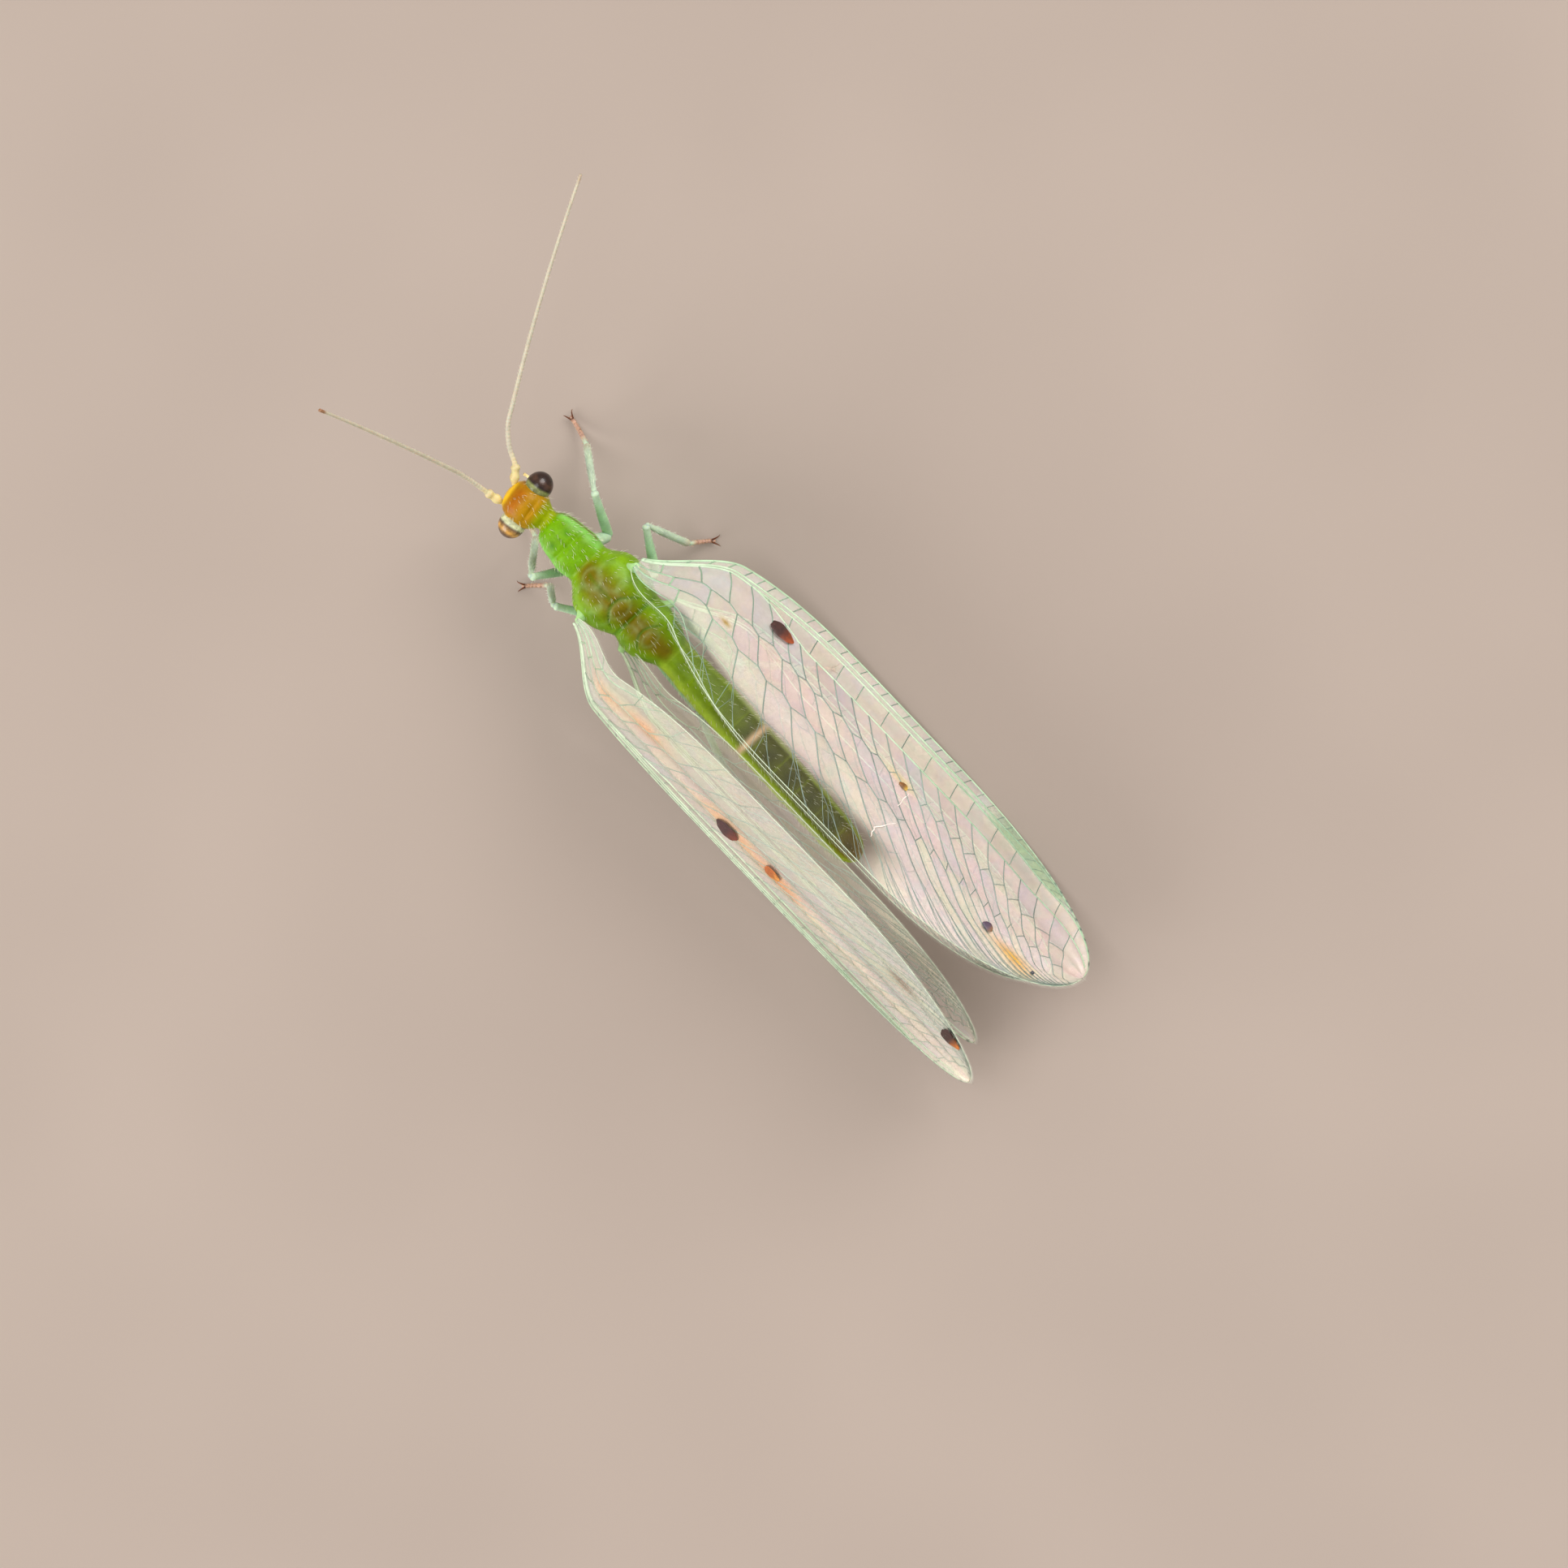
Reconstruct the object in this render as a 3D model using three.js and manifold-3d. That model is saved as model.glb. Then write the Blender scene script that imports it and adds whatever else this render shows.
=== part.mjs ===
// A green lacewing at rest, life size: six feet on the floor and the four wings folded as a steep roof.
// Millimetres. +Z is up, +Y is ahead and +X is the insect's right. While the pieces are made, a place
// along the body is its distance behind the head, so y = -back, and heights are above the floor.
import * as THREE from "three";
import { mergeVertices } from "three/addons/utils/BufferGeometryUtils.js";
import Module from "manifold-3d";

const wasm = await Module();
wasm.setup();

// Driving dimensions
const GAP = 0.28; // clear space between touching pieces
const LIMB = 0.5; // least thickness of a leg, a feeler or a wing, apart from its tip
const FOREWING_LENGTH = 15.3;
const FOREWING_CHORD = 5.3;
const HINDWING_LENGTH = 13.4;
const ABDOMEN_LENGTH = 6.9;
const ABDOMEN_WIDTH = 1.08;
const ANTENNA_LENGTH = 8.0;

// Head, in its own frame
const HEAD_PLACE = new THREE.Vector3(-0.12, -0.1, 2.5);
const HEAD_YAW = THREE.MathUtils.degToRad(11.3);
const IN_HEAD = { floor: -HEAD_PLACE.z };
const HEAD_FRONT = 0.58;
const HEAD_REAR = -0.5;
const HEAD_HALF_WIDTH = 0.56;
const HEAD_HALF_HEIGHT = 0.6;
const CHEEK = 0.4; // half the width between the flats that carry the eyes
const FACE_DROP = 0.12; // how far the face hangs under the crown
const FURROW = { depth: 0.06, at: 0.72, width: 0.1 }; // across the head, as shares of its length
const EYE_RADIUS = 0.33;
const EYE_REACH = 0.98; // from the middle of the head to the outside of an eye
const CHEEK_LENGTH = 0.94; // along the head
const EYE_PLACE = [0.02, 0.05]; // its middle, ahead and up
const SOCKET = new THREE.Vector3(0.3, HEAD_FRONT, 0.1); // under the foot of the right antenna
const SOCKET_RADIUS = 0.16;
const SOCKET_HEIGHT = 0.1;
const SCAPE = 0.46; // thickness of an antenna at its foot
const FEELER_TIP = 0.26;
const MOUTH_AHEAD = 0.16;
const MOUTH_RINGS = [
  { down: 0, halfWidth: 0.32, halfLength: 0.3 },
  { down: 0.2, halfWidth: 0.28, halfLength: 0.27 },
  { down: 0.36, halfWidth: 0.25, halfLength: 0.22 },
];
const PALP_PLACES = [
  [0.1, 0.2, -0.2],
  [0.3, 0.42, -0.42],
  [0.34, 0.62, -0.62],
]; // sideways, ahead and up from the top of the mouthparts
const PALP_RADII = [0.17, 0.09];

// Trunk: where each length starts and ends behind the head, and its half width there
const PROTHORAX = { from: 0.86, to: 2.12, halfWidths: [0.42, 0.52, 0.6, 0.64, 0.56], halfHeight: 0.46 };
const MESOTHORAX = { from: 2.4, to: 3.92, halfWidths: [0.6, 0.9, 1.0, 0.94, 0.78], halfHeight: 0.86 };
const METATHORAX = { from: 4.2, to: 5.18, halfWidths: [0.62, 0.62, 0.57, 0.5], halfHeight: 0.76 };
const THORAX_HEIGHT = 2.55;
const SHIELD_FURROW = { depth: 0.05, at: 0.55, width: 0.12 }; // across the pronotum
const LOBE_HEIGHT = 0.1; // of the two lobes on the back of a winged length
const ABDOMEN_FROM = METATHORAX.to + GAP;
const ABDOMEN_SEGMENTS = 9;
const ABDOMEN_PROFILE = [0.84, 0.94, 1, 1, 0.98, 0.95, 0.9]; // shares of its full width
const ABDOMEN_TIP = 0.9; // where the tip starts to round, as a share of the length
const ABDOMEN_WAIST = 0.035; // how far it is drawn in between two segments, as a share of its width
const ABDOMEN_HEIGHTS = [2.3, 1.72]; // of its axis, at the front and at the tip
const ABDOMEN_LEAN = -0.2; // sideways, at the tip

// Wings: the roof that they lie on
const RIDGE_HALF_GAP = 0.37; // from the middle to the hind margin
const RIDGE_HEIGHT = 5.42; // over the roots of the forewings
const RIDGE_FALL = Math.tan(THREE.MathUtils.degToRad(4.5));
const ROOF_SLOPE_TOP = THREE.MathUtils.degToRad(52);
const ROOF_SLOPE_FOOT = THREE.MathUtils.degToRad(70);
const FOREWING_ROOT = 3.1; // behind the head
const HINDWING_ROOT = 4.36;
const ROOT_PINCH = 0.5; // how far the roof draws in to the thorax at the roots of the forewings
const PINCH_LENGTH = 1.9;
const ROOT_HALF_CHORD = 0.3;
const TIP_END = 0.9985; // how far along the round of the tip the last row lies
const VEIN_HEIGHT = 0.1;
const VEIN_HALF_WIDTH = 0.12;
const VEIN_HALF_SHARE = 0.045; // where the wing is narrow, as a share of its width
const VEINS = [0.1, 0.27, 0.46, 0.66, 0.84]; // places of the long veins, as shares of the way from the
// costal edge to the hind margin: the subcosta with the radius, the sector, the two false veins, the anal

// Legs: places as [sideways, behind the head, height]
const FEMUR_WIDTH = 0.56;
const TIBIA_WIDTH = LIMB;
const TARSUS_WIDTH = LIMB;
const TARSUS_SEGMENTS = 3;
const TARSUS_WAIST = 0.12; // how far it is drawn in between two segments, as a share of its width
const CLAW_LENGTH = 0.22;
const CLAW_RADII = [0.09, 0.04];
const CLAW_SPREAD = 0.6; // radians, from the middle
const KNEE_GAP = 0.36; // wider than the other gaps, because the knees are sharply bent
const COXA_WIDTH = 0.56;
const COXAE = {
  foreleg: { top: [0.38, 1.9, 1.88], foot: [0.62, 2.05, 1.25] },
  midleg: { top: [0.56, 3.45, 1.56], foot: [0.84, 3.56, 1.2] },
  hindleg: { top: [0.42, 4.7, 1.6], foot: [0.6, 4.95, 1.2] },
};
const LEGS = {
  foreleg_left: { knee: [-1.27, 1.5, 2.7], ankle: [-0.98, 0.78, 0.42], claw: [-0.85, 0.0, 0.13] },
  foreleg_right: { knee: [1.41, 1.02, 2.55], ankle: [1.64, -0.05, 0.45], claw: [1.74, -0.8, 0.13] },
  midleg_left: { knee: [-1.46, 2.41, 2.15], ankle: [-1.55, 1.92, 0.45], claw: [-2.12, 1.48, 0.13] },
  midleg_right: { knee: [1.7, 2.5, 2.05], ankle: [1.85, 3.55, 0.5], claw: [2.26, 3.9, 0.13] },
  hindleg_left: { knee: [-0.86, 6.8, 0.82], ankle: [-1.55, 8.6, 0.3], claw: [-1.85, 9.4, 0.13] },
  hindleg_right: { knee: [0.66, 6.5, 0.86], ankle: [1.84, 7.9, 0.32], claw: [2.28, 8.35, 0.13] },
};

// Colours and finishes
const paint = (color, roughness) => new THREE.MeshStandardMaterial({ color, roughness, metalness: 0 });
const HEAD_SKIN = paint(0xcf9a12, 0.45);
const EYE_GLOSS = paint(0x2a1a16, 0.15);
const GREEN_SKIN = paint(0x86c21a, 0.5);
const OLIVE_SKIN = paint(0x8a9a1c, 0.5);
const PALE_GREEN_SKIN = paint(0xb4d6ac, 0.5);
const FEELER = paint(0xdccba4, 0.6);
const WING_MEMBRANE = paint(0xd6ddd0, 0.2);

const SIDES = { left: -1, right: 1 };
const place = ([x, back, z]) => new THREE.Vector3(x, -back, z);
const smooth = (t) => THREE.MathUtils.smoothstep(t, 0, 1);
const furrow = ({ depth, at, width }, t) => depth * Math.exp(-(((t - at) / width) ** 2));

// A value read along a short list of values that are evenly spaced over 0 to 1.
function along(values, t) {
  const curve = new THREE.SplineCurve(values.map((v, i) => new THREE.Vector2(i, v)));
  return curve.getPoint(THREE.MathUtils.clamp(t, 0, 1)).y;
}

// A closed geometry with its faces turned outwards.
function closed(positions, index) {
  const geometry = new THREE.BufferGeometry();
  geometry.setAttribute("position", new THREE.Float32BufferAttribute(positions, 3));
  geometry.setIndex(index);
  let volume = 0;
  const corner = [new THREE.Vector3(), new THREE.Vector3(), new THREE.Vector3()];
  for (let i = 0; i < index.length; i += 3) {
    corner.forEach((c, k) => c.fromArray(positions, 3 * index[i + k]));
    volume += corner[0].dot(corner[1].clone().cross(corner[2]));
  }
  if (volume < 0) geometry.index.array.reverse();
  geometry.computeVertexNormals();
  return geometry;
}

// A skin over a row of rings with the same number of points, capped flat at both ends.
function loft(rings) {
  const sides = rings[0].length;
  const positions = rings.flat().flatMap((p) => [p.x, p.y, p.z]);
  const index = [];
  for (let r = 0; r + 1 < rings.length; r++)
    for (let k = 0; k < sides; k++) {
      const a = r * sides + k;
      const b = r * sides + ((k + 1) % sides);
      index.push(a, b, a + sides, b, b + sides, a + sides);
    }
  const last = (rings.length - 1) * sides;
  for (let k = 1; k + 1 < sides; k++) {
    index.push(0, k + 1, k);
    index.push(last, last + k, last + k + 1);
  }
  return closed(positions, index);
}

// A tube along a curve. The radius is a function of the distance along it from 0 to 1, and no point lies
// under the floor, so that what rests on the floor has a small flat. A plane given for an end slants it.
function tube(points, radius, sides, steps, { startPlane, endPlane, floor = 0 } = {}) {
  const curve = new THREE.CatmullRomCurve3(points, false, "centripetal");
  const frames = curve.computeFrenetFrames(steps, false);
  const rings = frames.tangents.map((_, i) => {
    const centre = curve.getPointAt(i / steps);
    return Array.from({ length: sides }, (_, k) => {
      const turn = (2 * Math.PI * (k + 0.5)) / sides;
      const p = centre
        .clone()
        .addScaledVector(frames.normals[i], radius(i / steps) * Math.cos(turn))
        .addScaledVector(frames.binormals[i], radius(i / steps) * Math.sin(turn));
      p.z = Math.max(p.z, floor);
      return p;
    });
  });
  const slide = (ring, tangent, plane) =>
    ring.forEach((p) => p.addScaledVector(tangent, -plane.distanceToPoint(p) / plane.normal.dot(tangent)));
  if (startPlane) slide(rings[0], frames.tangents[0], startPlane);
  if (endPlane) slide(rings[steps], frames.tangents[steps], endPlane);
  return loft(rings);
}

// Rings across the body. Each is an ellipse squared off a little, with its own middle.
function trunk(sections, sides, squareness = 0.9) {
  const rings = sections.map(({ back, x = 0, z, halfWidth, halfHeight, shape = () => 0 }) =>
    Array.from({ length: sides }, (_, k) => {
      const turn = (2 * Math.PI * (k + 0.5)) / sides;
      const across = Math.sign(Math.cos(turn)) * Math.abs(Math.cos(turn)) ** squareness;
      const up = Math.sign(Math.sin(turn)) * Math.abs(Math.sin(turn)) ** squareness;
      return new THREE.Vector3(x + across * halfWidth, -back, z + up * halfHeight + shape(across, up));
    }),
  );
  return loft(rings);
}

// Joining and cutting
function solid(geometry) {
  const bare = geometry.clone();
  for (const name of Object.keys(bare.attributes)) if (name !== "position") bare.deleteAttribute(name);
  const merged = mergeVertices(bare, 1e-5);
  return new wasm.Manifold(
    new wasm.Mesh({
      numProp: 3,
      vertProperties: new Float32Array(merged.attributes.position.array),
      triVerts: new Uint32Array(merged.index.array),
    }),
  );
}

function toGeometry(body) {
  const pieces = body.decompose().sort((a, b) => b.volume() - a.volume());
  const mesh = pieces[0].getMesh();
  return closed(Array.from(mesh.vertProperties), Array.from(mesh.triVerts));
}

const join = (geometries) => toGeometry(geometries.map(solid).reduce((a, b) => a.add(b)));
const cut = (geometry, tools) => toGeometry(tools.map(solid).reduce((a, b) => a.subtract(b), solid(geometry)));

const lacewing = new THREE.Group();
const headFrame = new THREE.Group();
headFrame.position.copy(HEAD_PLACE);
headFrame.rotation.z = HEAD_YAW;
lacewing.add(headFrame);

function add(name, geometry, material, parent = lacewing) {
  const mesh = new THREE.Mesh(geometry, material);
  mesh.name = name;
  parent.add(mesh);
}

// Head: a round capsule with its face turned down, flat at the cheeks where the eyes meet it. A furrow
// parts the crown from the face, and a low ring stands under each antenna.
function head() {
  const rings = 9;
  const sections = Array.from({ length: rings + 1 }, (_, i) => {
    const t = i / rings;
    return {
      back: -THREE.MathUtils.lerp(HEAD_REAR, HEAD_FRONT, t),
      z: -FACE_DROP * t * t,
      halfWidth: HEAD_HALF_WIDTH * along([0.62, 0.9, 1, 1, 0.96, 0.82], t),
      halfHeight: HEAD_HALF_HEIGHT * along([0.6, 0.9, 1, 1, 0.9, 0.66], t),
      shape: (across, up) => (up > 0 ? -furrow(FURROW, t) : 0),
    };
  });
  const beyondCheek = (side) =>
    new THREE.BoxGeometry(1, CHEEK_LENGTH, 2).translate(side * (CHEEK + 0.5), EYE_PLACE[0], 0);
  const capsule = cut(trunk(sections, 18), [beyondCheek(-1), beyondCheek(1)]);
  const ring = (name) => {
    const { foot, out } = socket(name);
    const end = (reach) => foot.clone().addScaledVector(out, reach);
    return tube([end(-SOCKET_RADIUS), end(0), end(SOCKET_HEIGHT)], () => SOCKET_RADIUS, 10, 2, IN_HEAD);
  };
  return join([capsule, ring("left"), ring("right")]);
}

// Eye: a dome on a round flat that faces the cheek.
function eye(side) {
  const foot = CHEEK + GAP;
  const rim = Array.from({ length: 18 }, (_, k) => (2 * Math.PI * k) / 18);
  const [ahead, up] = EYE_PLACE;
  const rings = [0, 0.28, 0.52, 0.72, 0.87, 0.97].map((t) => {
    const r = EYE_RADIUS * Math.sqrt(1 - t * t);
    const x = side * THREE.MathUtils.lerp(foot, EYE_REACH, t);
    return rim.map((a) => new THREE.Vector3(x, ahead + r * Math.cos(a), up + 1.1 * r * Math.sin(a)));
  });
  return loft(rings);
}

// Mouthparts: a blunt wedge under the face with a pair of palps.
function mouthparts() {
  const top = -HEAD_HALF_HEIGHT - GAP;
  const sides = 10;
  const wedge = loft(
    MOUTH_RINGS.map(({ down, halfWidth, halfLength }) =>
      Array.from({ length: sides }, (_, k) => {
        const turn = (2 * Math.PI * k) / sides;
        const ahead = MOUTH_AHEAD + halfLength * Math.sin(turn);
        return new THREE.Vector3(halfWidth * Math.cos(turn), ahead, top - down);
      }),
    ),
  );
  const palp = (side) => {
    const points = PALP_PLACES.map(([x, y, z]) => new THREE.Vector3(side * x, y, top + z));
    return tube(points, (t) => THREE.MathUtils.lerp(...PALP_RADII, t), 6, 4, IN_HEAD);
  };
  return join([wedge, palp(-1), palp(1)]);
}

// Antennae: bristles that stand on their sockets. The right one is held out level, the left one is raised
// ahead. The heading is an angle towards the left and the rise one above the level, in the head's frame.
const ANTENNAE = {
  left: { heading: -0.12, rise: 1.08, bend: 0.12 },
  right: { heading: -1.26, rise: 0.16, bend: -0.2 },
};
const direction = (heading, rise) =>
  new THREE.Vector3(-Math.sin(heading) * Math.cos(rise), Math.cos(heading) * Math.cos(rise), Math.sin(rise));
function socket(name) {
  const { heading, rise } = ANTENNAE[name];
  return { foot: new THREE.Vector3(SIDES[name], 1, 1).multiply(SOCKET), out: direction(heading / 2, rise / 2) };
}
function antenna(name) {
  const { heading, rise, bend } = ANTENNAE[name];
  const { foot, out } = socket(name);
  const steps = 14;
  const p = foot.addScaledVector(out, SOCKET_HEIGHT + GAP);
  const points = [p.clone()];
  for (let i = 0; i < steps; i++) {
    const t = i / (steps - 1);
    const settle = 0.6 + 0.4 * smooth(6 * t);
    p.addScaledVector(direction(heading * settle + bend * (t - 0.5), rise * settle), ANTENNA_LENGTH / steps);
    points.push(p.clone());
  }
  const thickness = (t) =>
    THREE.MathUtils.lerp(SCAPE, LIMB, smooth(5 * t)) - (LIMB - FEELER_TIP) * smooth((t - 0.6) / 0.4);
  return tube(points, (t) => thickness(t) / 2, 8, 18, IN_HEAD);
}

add("head", head(), HEAD_SKIN, headFrame);
add("mouthparts", mouthparts(), PALE_GREEN_SKIN, headFrame);
for (const [name, side] of Object.entries(SIDES)) {
  add("eye_" + name, eye(side), EYE_GLOSS, headFrame);
  add("antenna_" + name, antenna(name), FEELER, headFrame);
}

// Trunk
function thoraxLength({ from, to, halfWidths, halfHeight }, rings, shape) {
  return trunk(
    Array.from({ length: rings + 1 }, (_, i) => {
      const t = i / rings;
      const halfWidth = along(halfWidths, t);
      return {
        back: THREE.MathUtils.lerp(from, to, t),
        z: THORAX_HEIGHT,
        halfWidth,
        halfHeight: halfHeight * (halfWidth / Math.max(...halfWidths)) ** 0.7,
        shape: (across, up) => shape(across, up, t),
      };
    }),
    16,
  );
}
// The pronotum is a flat shield with a shallow furrow across it.
const shield = (across, up, t) => (up > 0 ? -furrow(SHIELD_FURROW, t) : 0);
// The back of a winged length has two lobes with a groove between them.
const lobes = (across, up) => (up > 0 ? LOBE_HEIGHT * up * (Math.abs(across) - 0.35) : 0);
add("prothorax", thoraxLength(PROTHORAX, 8, shield), GREEN_SKIN);
add("mesothorax", thoraxLength(MESOTHORAX, 8, lobes), OLIVE_SKIN);
add("metathorax", thoraxLength(METATHORAX, 5, lobes), OLIVE_SKIN);

// Abdomen: nine rings, each a little fuller at its middle, closing to a blunt tip.
function abdomen() {
  const perSegment = 3;
  const rings = ABDOMEN_SEGMENTS * perSegment;
  return trunk(
    Array.from({ length: rings + 1 }, (_, i) => {
      const t = i / rings;
      const tip = Math.sqrt(1 - (Math.max(0, t - ABDOMEN_TIP) / (1.08 * (1 - ABDOMEN_TIP))) ** 2);
      const ring = i % perSegment === 0 ? 1 - ABDOMEN_WAIST : 1;
      const half = (ABDOMEN_WIDTH / 2) * along(ABDOMEN_PROFILE, t) * tip * ring;
      return {
        back: ABDOMEN_FROM + ABDOMEN_LENGTH * t,
        x: ABDOMEN_LEAN * t * t,
        z: THREE.MathUtils.lerp(...ABDOMEN_HEIGHTS, t),
        halfWidth: half,
        halfHeight: half,
      };
    }),
    14,
    1,
  );
}
add("abdomen", abdomen(), GREEN_SKIN);

// Legs: a femur with its coxa, a tibia and a tarsus with its claws. At a joint the two ends are slanted
// alike, half a gap to each side of the plane that halves the bend.
function jointPlanes(before, at, next, gap) {
  const back = before.clone().sub(at).normalize();
  const on = next.clone().sub(at).normalize();
  const normal = back.sub(on).normalize();
  return [gap / 2, -gap / 2].map((away) => {
    const point = at.clone().addScaledVector(normal, away);
    return new THREE.Plane().setFromNormalAndCoplanarPoint(normal, point);
  });
}
function rod(from, to, thickness, planes) {
  return tube([from, to], (t) => thickness(t) / 2, 8, 1, planes);
}
// The segments of a tarsus are drawn in where they meet, and two claws spread from the last one.
function tarsus(ankle, tip, startPlane) {
  const heel = ankle.clone().lerp(tip, 0.15);
  const sole = ankle.clone().lerp(tip, 0.6).setZ(tip.z + 0.05);
  const steps = 2 * TARSUS_SEGMENTS;
  const segments = (t) => 1 - TARSUS_WAIST * Math.cos(Math.PI * t * TARSUS_SEGMENTS) ** 2;
  const foot = tube([heel, sole, tip], (t) => (TARSUS_WIDTH / 2) * (1 - 0.3 * t) * segments(t), 8, steps, {
    startPlane,
  });
  const ahead = tip.clone().sub(ankle).setZ(0).normalize();
  const claw = (side) => {
    const out = ahead.clone().applyAxisAngle(new THREE.Vector3(0, 0, 1), CLAW_SPREAD * side);
    const root = tip.clone().addScaledVector(ahead, -CLAW_RADII[0]);
    const bend = tip.clone().addScaledVector(out, 0.55 * CLAW_LENGTH).setZ(tip.z + CLAW_RADII[1]);
    const point = tip.clone().addScaledVector(out, CLAW_LENGTH).setZ(CLAW_RADII[1]);
    return tube([root, bend, point], (t) => THREE.MathUtils.lerp(...CLAW_RADII, t), 5, 3);
  };
  return join([foot, claw(-1), claw(1)]);
}
function leg(name, { knee, ankle, claw }) {
  const [pair, sideName] = name.split("_");
  const [top, hip] = ["top", "foot"].map((end) => {
    const [x, back, z] = COXAE[pair][end];
    return place([SIDES[sideName] * x, back, z]);
  });
  const [k, a, c] = [knee, ankle, claw].map(place);
  const [femurEnd, tibiaStart] = jointPlanes(hip, k, a, KNEE_GAP);
  const [tibiaEnd, tarsusStart] = jointPlanes(k, a, c, GAP);
  const thigh = rod(hip, k, (t) => FEMUR_WIDTH * (1 - 0.1 * t), { endPlane: femurEnd });
  const coxa = rod(top, hip, () => COXA_WIDTH);
  const shin = rod(k, a, () => TIBIA_WIDTH, { startPlane: tibiaStart, endPlane: tibiaEnd });
  add(name + "_femur", join([thigh, coxa]), PALE_GREEN_SKIN);
  add(name + "_tibia", shin, PALE_GREEN_SKIN);
  add(name + "_tarsus", tarsus(a, c, tarsusStart), PALE_GREEN_SKIN);
}
for (const [name, places] of Object.entries(LEGS)) leg(name, places);

// The roof: where a point of the wings lies, from its distance behind the head, its distance down from
// the ridge along the slope, and its depth under the roof. The slope grows steeper evenly on the way down.
const SLOPE_GAIN = (ROOF_SLOPE_FOOT - ROOF_SLOPE_TOP) / FOREWING_CHORD;
function roof(side, back, down, depth) {
  const slope = ROOF_SLOPE_TOP + SLOPE_GAIN * down;
  const out = (Math.sin(slope) - Math.sin(ROOF_SLOPE_TOP)) / SLOPE_GAIN;
  const drop = (Math.cos(ROOF_SLOPE_TOP) - Math.cos(slope)) / SLOPE_GAIN;
  const pinch = ROOT_PINCH * (1 - smooth((back - FOREWING_ROOT) / PINCH_LENGTH));
  const ridge = RIDGE_HEIGHT - RIDGE_FALL * (back - FOREWING_ROOT);
  const x = RIDGE_HALF_GAP + out - pinch - depth * Math.sin(slope);
  return new THREE.Vector3(side * x, -back, Math.max(0, ridge - drop - depth * Math.cos(slope)));
}

// The outline of a wing over its length t: its costal edge and its hind margin, as distances down from
// the ridge. The root widens as a cube, and the tip is half an ellipse.
function outline({ rootDown, tipDown, top, foot, baseEnd, tipStart }, t) {
  const round = Math.sqrt(Math.max(0, 1 - (Math.max(0, t - tipStart) / (1 - tipStart)) ** 2));
  const base = Math.max(0, 1 - t / baseEnd) ** 3;
  if (t > tipStart) return [tipDown + (foot - tipDown) * round, tipDown - (tipDown - top) * round];
  return [foot - (foot - rootDown - ROOT_HALF_CHORD) * base, top + (rootDown - ROOT_HALF_CHORD - top) * base];
}

const WINGS = {
  forewing: {
    root: FOREWING_ROOT,
    length: FOREWING_LENGTH,
    depth: 0,
    veined: -1,
    plan: { rootDown: 2.75, tipDown: 2.9, top: 0, foot: FOREWING_CHORD, baseEnd: 0.42, tipStart: 0.62 },
  },
  hindwing: {
    root: HINDWING_ROOT,
    length: HINDWING_LENGTH,
    depth: LIMB + GAP,
    veined: 1,
    plan: { rootDown: 3.1, tipDown: 3.0, top: 1.2, foot: 4.32, baseEnd: 0.4, tipStart: 0.66 },
  },
};

// A wing: one membrane, split into triangles alike on both faces. Each long vein is a ridge of three
// columns of points, foot, crest and foot, on the face that shows: the outer one of a forewing and the
// inner one of a hindwing. The ridges are narrower where the wing is, and sink into its root.
const CROSSWISE = [
  { at: 0 },
  ...VEINS.flatMap((at) => [{ at, foot: -1 }, { at, crest: true }, { at, foot: 1 }]),
  { at: 1 },
];
function wing(side, { root, length, depth, veined, plan }) {
  const rows = 22;
  const positions = [];
  const index = [];
  const stride = CROSSWISE.length;
  const faceSize = (rows + 1) * stride;
  for (const face of [-1, 1])
    for (let i = 0; i <= rows; i++) {
      const t = 1 - (1 - i / rows) ** 1.25;
      const [costa, hind] = outline(plan, Math.min(t, TIP_END));
      const footShare = Math.min(VEIN_HALF_WIDTH / (costa - hind), VEIN_HALF_SHARE);
      const height = VEIN_HEIGHT * smooth(8 * t);
      for (const { at, foot = 0, crest } of CROSSWISE) {
        const down = THREE.MathUtils.lerp(costa, hind, at + foot * footShare);
        const ridge = crest && face === veined ? face * height : 0;
        const p = roof(side, root + length * t, down, depth + (face * LIMB) / 2 + ridge);
        positions.push(p.x, p.y, p.z);
      }
    }
  for (let i = 0; i < rows; i++)
    for (let j = 0; j + 1 < stride; j++) {
      const a = i * stride + j;
      const b = a + faceSize;
      index.push(a, a + 1, a + stride, a + 1, a + stride + 1, a + stride);
      index.push(b, b + stride, b + 1, b + 1, b + stride, b + stride + 1);
    }
  const last = stride - 1;
  const rim = [];
  for (let j = 0; j < last; j++) rim.push(j);
  for (let i = 0; i < rows; i++) rim.push(i * stride + last);
  for (let j = last; j > 0; j--) rim.push(rows * stride + j);
  for (let i = rows; i > 0; i--) rim.push(i * stride);
  rim.forEach((a, k) => {
    const b = rim[(k + 1) % rim.length];
    index.push(b, a, a + faceSize, b, a + faceSize, b + faceSize);
  });
  return closed(positions, index);
}
for (const [name, plan] of Object.entries(WINGS))
  for (const [sideName, side] of Object.entries(SIDES))
    add(name + "_" + sideName, wing(side, plan), WING_MEMBRANE);

// The origin is on the floor, under the middle of the whole insect.
const box = new THREE.Box3().setFromObject(lacewing, true);
const middle = box.getCenter(new THREE.Vector3());
lacewing.position.set(-middle.x, -middle.y, -box.min.z);

export default lacewing;
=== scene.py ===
import math

import bpy
import numpy as np
from mathutils import Matrix, Vector


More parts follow.
